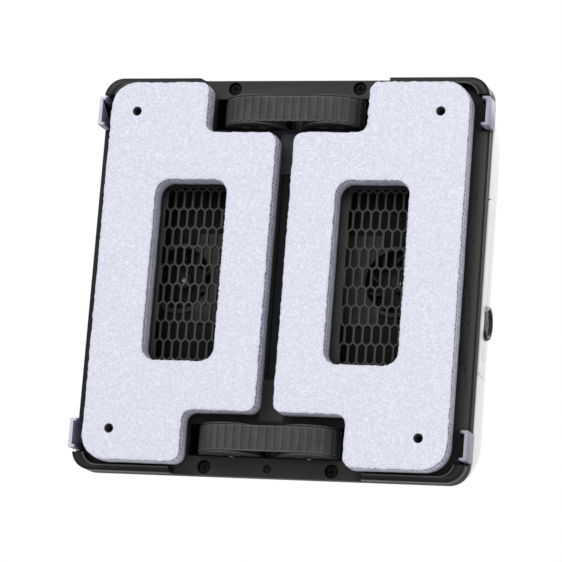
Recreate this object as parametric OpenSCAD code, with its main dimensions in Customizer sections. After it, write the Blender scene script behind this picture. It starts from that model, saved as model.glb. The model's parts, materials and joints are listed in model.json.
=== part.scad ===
/* [Body] */
// Width and height of the square body at its seam.
body_w = 240; // [220:1:260]
// Corner radius of the body outline.
body_r = 12; // [8:1:20]
// Thickness of the under-plate.
plate_t = 3; // [2:0.5:4]
// Depth of the black rim behind the plate's front face.
rim_d = 6.5; // [5:0.5:10]
// Wall of the rim.
rim_wall = 2.5; // [2:0.5:4]
// Height of the thin dark marks in the rim.
tick_h = 2.6; // [1:0.2:4]
// Width and depth of those marks.
tick_w = 0.8; // [0.4:0.1:1.5]
// How far the marks sit from the body's side.
tick_edge = 5.7; // [4:0.1:8]
// Heights of the marks.
tick_z = [50, 23, -10.7, -26, -53];

/* [Corner guards] */
// How far the guards stand in front of the plate.
guard_h = 7; // [4:0.5:10]
// Width of a guard beside the pad.
guard_side = 7; // [4:0.5:8]
// Width of a guard above and below the pad.
guard_end = 3.7; // [2:0.1:5]
// Inner corner radius of a guard.
guard_in_r = 9; // [5:0.5:12]
// Room between the track notch and a guard's end.
guard_room = 7.2; // [4:0.2:12]
// How far a guard reaches down beside the pad.
guard_len = 10.5; // [8:0.5:12]
// Length of the ramp at a guard's end.
guard_ramp = 2; // [0.5:0.5:5]

/* [Shell] */
// Thickness of the seal between rim and shell.
seal_t = 0.6; // [0.4:0.1:2]
// Depth of the shell's back, the whole thickness of the robot.
shell_back = 86; // [70:1:100]
// Wall of the shell.
shell_t = 2.5; // [2:0.1:4]
// How far the sides bulge past the seam.
belly = 0.8; // [0:0.1:3]
// Depth of the widest place.
belly_y = 28; // [24:1:40]
// Size of the sides' curve: offset squared over this is the taper.
belly_curve = 240; // [150:10:400]
// How far the shell is lower than the seam at top and bottom.
end_step = 0.4; // [0:0.1:2]
// Slope of the top and bottom walls.
end_slope = 0.17; // [0.05:0.01:0.3]
// Radius of the rounded back edge.
back_r = 22; // [10:1:30]
// Rise of the gently domed back.
dome_rise = 4; // [1:0.5:8]
// Corner radius of the shell at its back.
back_corner_r = 24; // [12:1:40]
// Depth of the seal between rim and shell.
seal_w = 2.2; // [1:0.1:3]
// Half width of an exhaust slot.
slot_half_w = 1.5; // [1:0.1:3]
// Half height of an exhaust slot.
slot_half_h = 18; // [8:1:30]
// Pitch of the exhaust slots.
slot_pitch = 6.5; // [4:0.5:10]
// Exhaust slots on each side.
slots = 6; // [2:1:9]

/* [Pads] */
// Half of the gap between the two pads.
pad_in = 5.4; // [3:0.1:10]
// Rim left beside a pad.
pad_side = 9; // [6:0.5:12]
// Rim left above and below a pad.
pad_end = 5.2; // [4:0.1:8]
// Room between a pad's waist and the track well.
notch_room = 5.4; // [3:0.1:8]
// Room between a pad and the side of the track well.
notch_side = 0.5; // [0.3:0.1:2]
// Depth of a pad.
pad_d = 13.5; // [8:0.5:20]
// Room between the carriers and the plate.
carrier_gap = 0.7; // [0.5:0.1:2]
// Width of a pad between the middle gap and its window.
bar_in = 28.2; // [20:0.1:32]
// Width of a pad outside its window.
bar_out = 32.7; // [24:0.1:36]
// Half height of a suction window.
win_h = 54.7; // [40:0.1:65]
// Corner radius of a suction window.
win_r = 8.5; // [4:0.5:14]
// Corner radius of a pad at the body's corner.
pad_corner_r = 15; // [8:0.5:25]
// Corner radius elsewhere.
pad_small_r = 6; // [3:0.5:10]
// Rounding of the cloth's face edge.
pad_edge = 1.5; // [0.5:0.1:3]
// Rise of the cloth's crowned face.
pad_crown = 0.3; // [0.1:0.1:1]
// Thickness of the cloth cover.
cloth_t = 2.2; // [1:0.1:4]
// Room between cloth and foam.
foam_gap = 0.3; // [0.1:0.1:1]
// How far a pad rubs up and down from the middle.
pad_travel = 1; // [0.5:0.1:1.2]
// Radius of a pad's screw holes.
pad_hole_r = 2.5; // [1.5:0.1:4]
// Screw holes from a pad's outer side.
hole_side = 17; // [12:0.5:22]
// Screw holes from a pad's end.
hole_end = 18.3; // [12:0.1:24]

/* [Pad drive] */
// Thickness of the pads' carrier plate.
carrier_t = 3.3; // [2:0.1:3.6]
// How far the carrier stays inside the pad's outline.
carrier_inset = 3; // [1:0.5:6]
// Radius of a shoulder screw's head.
shoulder_head_r = 3.6; // [3:0.1:5]
// Height of its head.
shoulder_head_h = 2.7; // [2:0.1:4]
// Radius of its shoulder.
shoulder_r = 2; // [1.5:0.1:3]
// How far the shoulder reaches behind the plate.
shoulder_reach = 6.5; // [4:0.5:10]
// Radius of the boss it is screwed in.
shoulder_boss_r = 4; // [3:0.5:6]
// Inner side of a carrier's leg.
leg_in = 12; // [11:0.5:15]
// Width of a carrier's leg.
leg_w = 8; // [5:0.5:10]
// Half height of a leg.
leg_half_h = 8; // [4:0.5:12]
// Room between the recess floor and the first yoke.
yoke_room = 1.2; // [0.5:0.1:3]
// Thickness of a yoke.
yoke_t = 2.8; // [2:0.1:4]
// Room between the two yokes.
yoke_gap = 0.6; // [0.4:0.1:2]
// Radius of an eccentric disc.
disc_r = 6; // [4:0.5:8]
// Wall round a yoke's slot.
yoke_wall = 2.5; // [2:0.5:4]
// Radius of the eccentric's shaft.
ecc_shaft_r = 2.5; // [2:0.1:4]
// Radius of its front pilot.
pilot_r = 1.5; // [1:0.1:2]
// Radius of the pad drive motor.
drive_motor_r = 12; // [8:0.5:14]
// Length of the pad drive motor.
drive_motor_l = 28; // [20:1:40]
// Depth of the recess between the pads.
spine_d = 3.5; // [2:0.5:5]
// Thickness of that floor.
spine_floor = 2; // [1:0.5:3]
// Half length of the recess between the pads.
spine_half_l = 62; // [40:1:75]
// Half width of that recess.
spine_half_w = 5; // [3:0.5:8]

/* [Tracks] */
// A belt's middle line from the body's end.
belt_edge = 21; // [18:0.5:30]
// Width of a belt.
belt_w = 15; // [10:0.5:20]
// Outer radius of a belt at its wheels.
belt_r = 20; // [15:0.5:24]
// Thickness of a belt with its ribs.
belt_t = 2.2; // [1.5:0.1:4]
// Height of a rib.
rib_h = 0.9; // [0.4:0.1:1.5]
// Width of a rib.
rib_w = 2.6; // [1:0.1:4]
// Ribs round a belt.
ribs = 44; // [30:1:60]
// Wheels from the middle, sideways.
wheel_x = 24; // [15:0.5:30]
// Depth of the belts' front behind the glass.
belt_front = 2.5; // [0:0.1:5]
// How far a flange stays inside the belt's ribs.
flange_low = 0.4; // [0.2:0.1:2]
// Thickness of a flange.
flange_t = 1.1; // [0.5:0.1:2]
// Room beside and under the belt.
belt_gap = 0.3; // [0.2:0.05:0.6]
// Radius of an axle pin.
axle_r = 2; // [1.5:0.1:3]
// Room beside the belt in its well.
well_side = 5.3; // [3:0.1:8]
// Room above and below the belt in its well.
well_room = 2.1; // [1.7:0.1:4]
// Wall of a track well.
well_wall = 2.5; // [1.5:0.5:4]
// Room behind the belt in its well.
well_deep = 2.5; // [1:0.5:5]
// Radius of the sprocket.
sprocket_r = 6.5; // [4:0.1:8]
// Teeth of the sprocket.
sprocket_teeth = 10; // [8:1:16]
// Radius of the sprocket's shaft.
sprocket_shaft_r = 2.5; // [2:0.1:3]
// Radius of a travel motor.
track_motor_r = 9.5; // [8:0.5:10]
// Length of a travel motor.
track_motor_l = 42; // [30:1:50]
// Place and radius of a wheel's holes, as shares of its radius.
hole_shares = [0.6, 0.2];
// Lightening holes in a wheel.
wheel_holes = 6; // [4:1:8]

/* [Edge tabs] */
// How far a tab stands out past the body's side.
tab_proud = 1.2; // [0.5:0.1:3]
// Thickness of a tab.
tab_t = 2; // [1.5:0.1:3]
// How far a tab stands in front of the plate.
tab_h = 10.7; // [8:0.1:12]
// Room between a tab and the rim's back.
tab_back_room = 0.6; // [0.4:0.1:2]
// Length of a tab.
tab_l = 17.4; // [12:0.2:24]
// A tab's outer end from the body's end.
tab_edge = 12.6; // [11.2:0.1:20]
// Thickness of a tab's end walls.
tab_end_t = 1.6; // [1:0.1:3]
// How far the end walls reach inwards.
tab_end_w = 2.6; // [1:0.1:4]
// How far a tab gives way.
tab_travel = 1.5; // [0.5:0.1:1.6]
// Room round a tab.
tab_gap = 0.6; // [0.3:0.1:1]
// Length of a tab's foot from the body's side inwards.
foot_l = 16; // [12:0.5:20]
// Thickness of a foot.
foot_t = 2.4; // [1.5:0.1:3]
// Half width of a foot.
foot_half_w = 4.7; // [3:0.1:6]
// Half width of a foot's head.
foot_head_half_w = 7.7; // [6:0.1:9]
// Depth of a foot's head.
foot_head_t = 2.3; // [1:0.1:4]
// Thickness of a foot's guide ribs.
guide_t = 1.4; // [1:0.1:2]
// Thickness of a tab's leaf spring.
spring_t = 0.5; // [0.3:0.1:1]
// Width and height of the spring's foot.
spring_foot = 2.5; // [1.5:0.5:4]
// Length of a tab's switch.
switch_l = 10.5; // [8:0.5:14]
// Height of a tab's switch.
switch_h = 5.6; // [4:0.2:7]

/* [Honeycomb] */
// Heights of the lines between the rows of cells.
rows = [51.9, 40.5, 28.8, 17.5, 6, -5.6, -17, -28.2, -39.6, -51];
// Width of a cell with its wall.
cell_w = 5.48; // [4:0.1:8]
// Wall between cells.
cell_wall = 1.3; // [0.8:0.1:2]
// Rise of a cell's shallow point.
cell_rise = 1.9; // [0.5:0.1:3]
// Width of the solid strip on the inner side.
strip_w = 4.1; // [2:0.1:8]
// First wall of the odd rows from the window's inner side.
row_from = 4.4; // [2:0.1:8]
// Thickness of the grille.
grille_t = 2; // [1:0.1:3]
// Ledge that the grille rests on.
ledge = 1.5; // [0.5:0.1:3]

/* [Suction] */
// Room between a fan housing and the water tank.
fan_room = 2; // [1:0.5:5]
// Depth of the suction chamber behind the plate.
chamber_d = 7.5; // [5:0.5:12]
// Thickness of the housing's plates.
fan_plate_t = 2; // [1:0.5:3]
// Radius of the fan housing.
fan_r = 34; // [28:0.5:36]
// Wall of the fan housing.
fan_wall = 2.5; // [1.5:0.5:4]
// Depth of the fan housing.
fan_d = 18; // [14:1:24]
// How far the grey ring is smaller than half the window's width.
ring_room = 0.85; // [0.5:0.05:4]
// Width of the grey ring round the inlet.
ring_w = 3; // [2:0.5:6]
// Half height of the grey plate.
inlet_half_h = 27.5; // [20:0.5:40]
// Outer side of the grey plate from the fan's axis.
inlet_side = 9; // [5:0.5:14]
// Room between impeller and housing wall.
impeller_room = 3.5; // [1:0.5:6]
// Blades of an impeller.
blades = 9; // [5:1:13]
// Thickness of a blade.
blade_t = 1.4; // [1:0.1:2]
// Middle and length of a blade, as shares of the impeller's radius.
blade_shares = [0.66, 0.56];
// Angle of a blade to its radius.
blade_turn = 28; // [0:1:45]
// Depth of the blades.
blade_d = 9; // [5:0.5:12]
// Thickness of the impeller's disc.
impeller_disc_t = 1.6; // [1:0.1:3]
// Radius of the impeller's hub.
hub_r = 5; // [3:0.5:8]
// Radius of the fan motor's shaft.
fan_shaft_r = 1.5; // [1:0.1:2.5]
// Radius of the fan motor.
fan_motor_r = 15; // [10:0.5:18]
// Length of the fan motor.
fan_motor_l = 16; // [10:1:24]
// Room between impeller and housing plates.
impeller_gap = 1; // [0.5:0.1:2]
// Wall of the suction chamber.
chamber_wall = 2.2; // [1.5:0.1:3]

/* [Water] */
// Top of a side panel.
panel_top = 50; // [40:1:60]
// Bottom of a side panel.
panel_low = -54; // [-60:1:-40]
// Depth of a side panel from the shell's front.
panel_d = 17.4; // [14:0.2:24]
// Corner radius of a side panel.
panel_r = 3; // [1:0.5:6]
// Room round a side panel.
panel_gap = 0.4; // [0.3:0.05:1]
// Height of the mist nozzle.
nozzle_z = -22; // [-40:1:20]
// Depth of the mist nozzle behind the shell's front.
nozzle_d = 10.9; // [8:0.1:13]
// Radius of the nozzle's rim.
nozzle_r = 10.4; // [6:0.1:14]
// Radius of the grey disc.
mist_r = 7.6; // [4:0.1:10]
// How far the nozzle's rim stands out past the body.
nozzle_proud = 2.6; // [1.5:0.1:6]
// How far the grey disc stays behind the rim.
mist_low = 0.8; // [0.3:0.1:2]
// How deep the nozzle's rim sits in the panel.
nozzle_deep = 3; // [2.5:0.5:4]
// Depth of a tank, sideways.
tank_w = 12; // [8:0.5:16]
// Room between a tank and the body's side.
tank_side = 5; // [4:0.5:8]
// Room in front of a tank.
tank_front_room = 1.4; // [1:0.1:3]
// Room behind a tank.
tank_back_room = 1.6; // [1:0.1:3]
// Wall of a tank.
tank_wall = 1.2; // [0.8:0.1:2]
// Room between a tank's ends and the panel's.
tank_end_gap = 3; // [1:0.5:8]
// Radius of a tank's filler cap.
cap_r = 4.5; // [3:0.5:6]
// Height of a filler cap.
cap_h = 3; // [2:0.5:5]
// Width of the ribs that hold a tank to its panel.
holder_w = 3; // [2:0.5:5]
// Rib nearest the nozzle, from the middle.
holder_z = -5; // [-8:1:20]
// How far a tank is drawn out.
tank_travel = 18; // [10:1:24]
// Radius of the finger scoop under the nozzle.
scoop_r = 9; // [5:0.5:12]
// Height of the finger scoop.
scoop_z = -41; // [-46:1:-34]
// Depth of the finger scoop.
scoop_in = 1.1; // [0.5:0.1:2]

/* [Electrics] */
// Height and depth of the battery.
battery = [22, 36];
// Room between battery and tank, motor and well.
battery_room = [7, 10.5, 3.9];
// Half width and half height of the main board.
board_half = [31, 60];
// Room behind the main board.
board_room = 22; // [18:1:30]
// Thickness of the main board.
board_t = 1.6; // [1:0.1:2.4]
// Board posts from the middle.
post_at = [24, 53];
// Radius of a board post.
post_r = 3.2; // [2:0.2:5]
// Size of the larger chips on the main board.
chip = 14; // [8:1:20]
// Heights of those chips.
chip_z = [-35, 30];
// Radius of the power button.
button_r = 9; // [5:0.5:14]
// How far the button is pressed.
button_travel = 1; // [0.5:0.1:2]
// Room round the button.
button_gap = 0.5; // [0.3:0.1:1]
// Thickness of the button.
button_t = 3.4; // [2:0.1:5]
// Radius of the button's stem.
stem_r = 3; // [2:0.5:5]
// Radius of the indicator lens.
lens_r = 2.4; // [1:0.1:4]
// Height of the indicator lens.
lens_z = -20; // [-40:1:40]
// Power inlet from the middle, sideways and upwards.
inlet_at = [-34, 66];
// Radius of the power inlet's collar.
socket_r = 6; // [4:0.5:8]
// Radius of the power inlet's hole.
socket_hole_r = 2.8; // [2:0.1:4]
// Depth of the power inlet.
socket_l = 14; // [8:1:20]
// Radius of the rope eye.
eye_r = 8; // [5:0.5:12]
// Radius of the rope eye's hole.
eye_hole_r = 3.5; // [2:0.5:6]
// Half thickness of the rope eye.
eye_half_t = 2.5; // [1.5:0.5:4]
// Height of the rope eye.
eye_z = 66; // [40:1:90]
// Depth of the rope eye's hole.
eye_y = 88; // [84:0.5:92]

/* [Fasteners] */
// Housing screws from the middle, sideways.
screw_x = 39; // [30:1:45]
// Housing screws and edge sensor from the body's end.
screw_edge = 5; // [4.5:0.1:7]
// Radius of the recess round a housing screw.
recess_r = 4; // [3:0.1:5]
// Depth of that recess.
recess_d = 3.5; // [2:0.1:4]
// Radius of a screw's head.
head_r = 3.1; // [2:0.1:4]
// Height of a screw's head.
head_h = 1.9; // [1:0.1:3]
// Radius of a screw.
screw_r = 1.5; // [1:0.1:2]
// How far a screw reaches into the shell.
screw_reach = 5.9; // [4:0.1:12]
// Radius of a shell boss.
shell_boss_r = 3.2; // [3:0.1:5]
// Half width and depth of a screw's cross slot.
cross_half_w = 0.45; // [0.3:0.05:1]
// Radius of the edge sensor.
sensor_r = 2; // [1:0.1:3]
// Room in a running fit.
run_fit = 0.05; // [0.01:0.01:0.1]
// Room in a plain fit.
fit = 0.15; // [0.1:0.05:0.4]

/* [Hidden] */
$fn = 48;
half = body_w/2;
eps = 0.01;
carrier_back = pad_d + carrier_t;
plate_y = carrier_back + carrier_gap;
plate_back = plate_y + plate_t;
rim_back = plate_y + rim_d;
shell_front = rim_back + seal_t;
guard_y = plate_y - guard_h;
tick_x = half - tick_edge;
pad_out = half - pad_side;
pad_half_h = half - pad_end;
win_in = pad_in + bar_in;
win_out = pad_out - bar_out;
win_x = (win_in + win_out)/2;
win_a = (win_out - win_in)/2;
pad_hole_x = pad_out - hole_side;
pad_hole_z = pad_half_h - hole_end;
belt_z = half - belt_edge;
wheel_y = belt_front + belt_r;
flange_r = belt_r - flange_low;
well_half_w = wheel_x + belt_r + well_side;
well_half_h = belt_w/2 + well_room;
well_back = wheel_y + belt_r + well_deep;
notch_x = well_half_w + notch_side;
notch_z = belt_z - well_half_h - notch_room;
guard_from = notch_x + guard_room;
guard_down = half - guard_len;
spine_y = plate_y + spine_d;
yoke_y = spine_y + spine_floor + yoke_room;
shoulder_back = plate_back + shoulder_reach;
screw_at = [screw_x, half - screw_edge];
screw_back = shell_front + screw_reach;
belt_in_r = belt_r - belt_t;
wheel_r = belt_in_r - belt_gap;
flange_in = belt_w/2 + belt_gap;
flange_out = flange_in + flange_t;
run_half = wheel_x;
loop_l = 4*run_half + 2*PI*belt_r;
arc_l = PI*belt_r;
sprocket_y = wheel_y + belt_in_r - belt_gap - sprocket_r;
well_reach = well_half_h + well_wall;
grille_y = plate_y + fit;
grille_strip = win_in + strip_w;
row_start = win_in + row_from;
cells = ceil((win_out - row_start)/cell_w);
tank_out = half - tank_side;
tank_in = tank_out - tank_w;
panel_back = shell_front + panel_d;
tank_front = shell_front + tank_front_room;
tank_back = panel_back - tank_back_room;
nozzle_y = shell_front + nozzle_d;
nozzle_out = half + nozzle_proud;
mist_out = nozzle_out - mist_low;
nozzle_in = half - nozzle_deep;
fan_x = tank_in - fan_room - fan_r;
fan_y = plate_back + chamber_d;
impeller_r = fan_r - fan_wall - impeller_room;
fan_back = fan_y + fan_d;
inlet_ring_r = win_a - ring_room;
inlet_r = inlet_ring_r - ring_w;
board_y = shell_back - board_room;
impeller_y = fan_y + fan_plate_t + impeller_gap;
yoke_slot = disc_r + 2*pad_travel + belt_gap;
yoke_half_w = disc_r + pad_travel + belt_gap;
motor_y = yoke_y + 2*yoke_t + yoke_gap + tab_gap;
edge_y = shell_back - dome_rise - back_r;
tab_out = half + tab_proud;
tab_front = plate_y - tab_h;
tab_back = rim_back - tab_back_room;
tab_high = half - tab_edge;
tab_low = tab_high - tab_l;
foot_in = half - foot_l;
tab_in = tab_out - tab_t;
pocket_in = tab_in - tab_travel - belt_gap;
foot_y = plate_back + belt_gap + fit;
tab_mid = (tab_low + tab_high)/2;
core_front = cloth_t + foam_gap;

// Placing: a flat outline stands in the X-Z plane, Y is the depth.
module along_y(y0, y1) {
  translate([0, y1, 0]) rotate([90, 0, 0]) linear_extrude(y1 - y0) children();
}

// A flat outline in the Y-Z plane, drawn out along X.
module along_x(x0, x1) {
  translate([x0, 0, 0]) rotate([90, 0, 90]) linear_extrude(x1 - x0) children();
}

// A flat outline in the X-Y plane, drawn out along Z.
module along_z(z0, z1) {
  translate([0, 0, z0]) linear_extrude(z1 - z0) children();
}

// The right-hand or left-hand copy of what follows.
module at_side(s) {
  mirror([s < 0 ? 1 : 0, 0, 0]) children();
}

// The upper or lower copy of what follows.
module at_end(s) {
  mirror([0, 0, s < 0 ? 1 : 0]) children();
}

// What follows in all four quarters.
module quarters() {
  for (sx = [-1, 1], sz = [-1, 1]) at_side(sx) at_end(sz) children();
}

// A box from one corner to the other in the flat outline.
module span(x0, x1, z0, z1) {
  translate([x0, z0]) square([x1 - x0, z1 - z0]);
}

// A rounded rectangle about the middle, from half sizes.
module round_rect(a, b, r) {
  square([2*(a - r), 2*b], center = true);
  square([2*a, 2*(b - r)], center = true);
  for (sx = [-1, 1], sz = [-1, 1]) translate([sx*(a - r), sz*(b - r)]) circle(r);
}

// A disc at a place of the flat outline.
module disc(x, z, r) {
  translate([x, z]) circle(r);
}

module body_outline(d) {
  round_rect(half - d, half - d, body_r - d);
}

module window(d) {
  translate([win_x, 0]) round_rect(win_a - d, win_h - d, win_r - d);
}

// The C-shaped outline of a right-hand pad, drawn in by d.
module c_outline(d) {
  tall = (pad_out - pad_in)/2 - d;
  wide = (pad_out - notch_x)/2 - d;
  translate([(pad_in + pad_out)/2, 0]) round_rect(tall, notch_z - d, pad_small_r);
  span(notch_x + d + pad_small_r, pad_out - d, -notch_z, notch_z);
  intersection() {
    translate([(notch_x + pad_out)/2, 0]) round_rect(wide, pad_half_h - d, pad_small_r);
    translate([pad_out/2, 0]) round_rect(pad_out/2 - d, pad_half_h - d, pad_corner_r - d);
  }
  for (s = [-1, 1]) mirror([0, s < 0 ? 1 : 0]) difference() {
    r = pad_small_r + d;
    span(notch_x + d - r, notch_x + d + pad_small_r, notch_z - d - pad_small_r, notch_z - d + r);
    disc(notch_x + d - r, notch_z - d + r, r);
  }
}

// Corner arc of a path: from the leg towards a to the leg towards c.
function corner(a, b, c, r, n) =
  let (u = (a - b)/norm(a - b), v = (c - b)/norm(c - b))
  [for (i = [0:n]) b + (u + v)*r - r*(v*cos(90*i/n) + u*sin(90*i/n))];

function pad_corners(d) = [
  [pad_out - d, d - pad_half_h], [pad_out - d, pad_half_h - d],
  [notch_x + d, pad_half_h - d], [notch_x + d, notch_z - d],
  [pad_in + d, notch_z - d], [pad_in + d, d - notch_z],
  [notch_x + d, d - notch_z], [notch_x + d, d - pad_half_h]];

function pad_radii(d) = [
  pad_corner_r - d, pad_corner_r - d, pad_small_r - d, pad_small_r + d,
  pad_small_r - d, pad_small_r - d, pad_small_r + d, pad_small_r - d];

// Points between one corner and the next, so that the window's corners get some.
pad_steps = [0, 3, 0, 4, 0, 4, 0, 3];

function pad_line(d) =
  let (c = pad_corners(d), r = pad_radii(d), m = len(c),
       arcs = [for (i = [0:m - 1]) corner(c[(i + m - 1)%m], c[i], c[(i + 1)%m], r[i], 5)])
  [for (i = [0:m - 1]) each concat(arcs[i],
    [for (k = [1:1:pad_steps[i]]) let (a = arcs[i][5], b = arcs[(i + 1)%m][0])
      a + (b - a)*k/(pad_steps[i] + 1)])];

// The window's outline, drawn out by d, met by a ray from its middle.
function window_hit(p, d) =
  let (a = win_a + d, b = win_h + d, r = win_r + d, q = p - [win_x, 0],
       e = [abs(q.x), abs(q.y)]/norm(q),
       t = min(a/max(e.x, eps*eps), b/max(e.y, eps*eps)), c = [a - r, b - r],
       k = e*c,
       far = e.x*t > c.x && e.y*t > c.y ? k + sqrt(k*k - c*c + r*r) : t)
  [win_x + sign(q.x)*e.x*far, sign(q.y)*e.y*far];

// One ring of a pad: f = 0 on the outline, 1 on the window, at depth y.
function pad_ring(line, f, d, y) =
  [for (p = line) let (w = window_hit(p, d), q = p*(1 - f) + w*f) [q.x, y, q.y]];

// The cloth cover: round the edge, over the face, into the window and back inside.
module pad_form() {
  base = pad_line(0);
  edge = pad_edge;
  low = edge*(1 - cos(45));
  mid = pad_line(low);
  top = pad_line(edge);
  inner = pad_line(cloth_t);
  rings = [
    pad_ring(base, 0, 0, pad_d), pad_ring(base, 0, 0, pad_d/2),
    pad_ring(base, 0, 0, pad_crown + edge), pad_ring(mid, 0, 0, pad_crown + low),
    pad_ring(top, 0, 0, pad_crown), pad_ring(top, 1/3, edge, 0),
    pad_ring(top, 2/3, edge, 0), pad_ring(top, 1, edge, pad_crown),
    pad_ring(mid, 1, low, pad_crown + low), pad_ring(base, 1, 0, pad_crown + edge),
    pad_ring(base, 1, 0, pad_d/2), pad_ring(base, 1, 0, pad_d),
    pad_ring(inner, 1, cloth_t, pad_d), pad_ring(inner, 1, cloth_t, cloth_t),
    pad_ring(inner, 0, 0, cloth_t), pad_ring(inner, 0, 0, pad_d)];
  n = len(base);
  m = len(rings);
  points = [for (r = rings) each r];
  faces = [for (i = [0:m - 1], j = [0:n - 1])
    let (a = i*n + j, b = i*n + (j + 1)%n, c = ((i + 1)%m)*n + (j + 1)%n,
         e = ((i + 1)%m)*n + j) each [[a, b, c], [a, c, e]]];
  polyhedron(points, faces, convexity = 6);
}

module pad(s) {
  color("lavender") at_side(s) difference() {
    pad_form();
    for (z = [-pad_hole_z, pad_hole_z])
      along_y(-pad_crown, cloth_t + foam_gap) disc(pad_hole_x, z, pad_hole_r);
  }
}

module foam(s) {
  d = cloth_t + foam_gap;
  pocket_y = pad_d - shoulder_head_h - 2*foam_gap;
  color("lightgray") at_side(s) difference() {
    along_y(core_front, pad_d) difference() {
      c_outline(d);
      window(-d);
      for (z = [-pad_hole_z, pad_hole_z]) disc(pad_hole_x, z, pad_hole_r);
    }
    for (z = [-pad_hole_z, pad_hole_z]) along_y(pocket_y, pad_d + eps)
      disc(pad_hole_x, z, shoulder_head_r + pad_travel + 2*foam_gap);
  }
}

// The carrier, with the leg that reaches back to its yoke.
module carrier(s) {
  y0 = s > 0 ? yoke_y : yoke_y + yoke_t + yoke_gap;
  slot = shoulder_r + 2*fit;
  color("dimgray") at_side(s) {
    along_y(pad_d, carrier_back) difference() {
      c_outline(carrier_inset);
      window(-carrier_inset);
      for (z = [-pad_hole_z, pad_hole_z]) {
        span(pad_hole_x - slot, pad_hole_x + slot, z - pad_travel, z + pad_travel);
        for (t = [-pad_travel, pad_travel]) disc(pad_hole_x, z + t, slot);
      }
    }
    along_y(carrier_back, y0 + yoke_t) span(leg_in, leg_in + leg_w, -leg_half_h, leg_half_h);
    along_y(y0, y0 + yoke_t) difference() {
      span(-yoke_half_w - yoke_wall, leg_in + leg_w, -yoke_slot - yoke_wall, yoke_slot + yoke_wall);
      span(-yoke_half_w, yoke_half_w, -yoke_slot, yoke_slot);
    }
  }
}

module carrier_screws() {
  color("silver") quarters() {
    along_y(pad_d - shoulder_head_h - fit, pad_d - fit) difference() {
      disc(pad_hole_x, pad_hole_z, shoulder_head_r);
      for (t = [0, 1]) translate([pad_hole_x, pad_hole_z]) rotate(90*t)
        square([2*shoulder_r, 2*cross_half_w], center = true);
    }
    along_y(pad_d - shoulder_head_h + cross_half_w, shoulder_back)
      disc(pad_hole_x, pad_hole_z, shoulder_r);
  }
}

module eccentric() {
  back = motor_y + drive_motor_l/3;
  color("silver") {
    along_y(spine_y + belt_gap + belt_gap, yoke_y) circle(pilot_r);
    along_y(yoke_y, yoke_y + yoke_t) disc(pad_travel, 0, disc_r);
    along_y(yoke_y + yoke_t, yoke_y + yoke_t + yoke_gap) circle(ecc_shaft_r);
    along_y(yoke_y + yoke_t + yoke_gap, yoke_y + 2*yoke_t + yoke_gap) disc(-pad_travel, 0, disc_r);
    along_y(yoke_y + 2*yoke_t + yoke_gap, back) circle(ecc_shaft_r);
  }
}

module pad_drive_motor() {
  color("slategray") difference() {
    along_y(motor_y, motor_y + drive_motor_l) circle(drive_motor_r);
    along_y(motor_y - eps, motor_y + drive_motor_l/2) circle(ecc_shaft_r + run_fit);
  }
}

// The belt's loop at radius r, in the X-Y plane.
module loop(r) {
  translate([0, wheel_y]) {
    square([2*run_half, 2*r], center = true);
    for (s = [-1, 1]) translate([s*run_half, 0]) circle(r);
  }
}

// Moves a rib at the start of the front run to distance t along the loop.
module on_loop(t) {
  run = 2*run_half;
  if (t < run) translate([t - run_half, wheel_y - belt_r]) children();
  else if (t < run + arc_l)
    translate([run_half, wheel_y]) rotate((t - run)/arc_l*180) translate([0, -belt_r]) children();
  else if (t < 2*run + arc_l)
    translate([run_half - (t - run - arc_l), wheel_y + belt_r]) rotate(180) children();
  else translate([-run_half, wheel_y]) rotate(180 + (t - 2*run - arc_l)/arc_l*180)
    translate([0, -belt_r]) children();
}

module belt(s) {
  color("dimgray") at_end(s) along_z(belt_z - belt_w/2, belt_z + belt_w/2) difference() {
    union() {
      loop(belt_r - rib_h);
      for (i = [0:ribs - 1]) on_loop(i*loop_l/ribs)
        translate([-rib_w/2, 0]) square([rib_w, rib_h + belt_gap]);
    }
    loop(belt_in_r);
  }
}

module wheel(sx, sz) {
  color("silver") at_side(sx) at_end(sz) difference() {
    union() {
      along_z(belt_z - flange_in, belt_z + flange_in) disc(wheel_x, wheel_y, wheel_r);
      for (z = [belt_z - flange_out, belt_z + flange_in])
        along_z(z, z + flange_t) disc(wheel_x, wheel_y, flange_r);
    }
    along_z(belt_z - flange_out - eps, belt_z + flange_out + eps) {
      disc(wheel_x, wheel_y, axle_r + run_fit);
      translate([wheel_x, wheel_y]) for (i = [1:wheel_holes])
        rotate(i*360/wheel_holes) translate([wheel_r*hole_shares[0], 0]) circle(wheel_r*hole_shares[1]);
    }
  }
}

module wheel_axles() {
  color("silver") quarters() along_z(belt_z - well_reach, belt_z + well_reach)
    disc(wheel_x, wheel_y, axle_r);
}

module sprocket(s) {
  tooth = sprocket_r/10;
  color("silver") at_end(s) {
    along_z(belt_z - belt_w/2, belt_z + belt_w/2) translate([0, sprocket_y]) {
      circle(sprocket_r - tooth);
      for (i = [1:sprocket_teeth]) rotate(i*360/sprocket_teeth)
        translate([sprocket_r - tooth, 0]) circle(tooth);
    }
    along_z(belt_z - well_reach - track_motor_l/4, belt_z + well_reach - fit)
      disc(0, sprocket_y, sprocket_shaft_r);
  }
}

module track_motor(s) {
  top = belt_z - well_reach;
  color("slategray") at_end(s) difference() {
    along_z(top - track_motor_l, top) disc(0, sprocket_y, track_motor_r);
    along_z(top - track_motor_l/2, top + eps) disc(0, sprocket_y, sprocket_shaft_r + run_fit);
  }
}

// One raised rim round a corner, for the upper right quarter.
module guard() {
  intersection() {
    along_y(guard_y, plate_y) difference() {
      body_outline(0);
      round_rect(half - guard_side, half - guard_end, guard_in_r);
      span(-half, guard_from, -half, half);
      span(-half, half, -half, guard_down);
    }
    along_z(0, half) polygon([[guard_from, plate_y + 2*eps], [guard_from + guard_ramp, guard_y],
      [half, guard_y], [half, plate_y + 2*eps]]);
  }
}

module well_outline(d) {
  span(-well_half_w - d, well_half_w + d, belt_z - well_half_h - d, belt_z + well_half_h + d);
}

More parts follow.
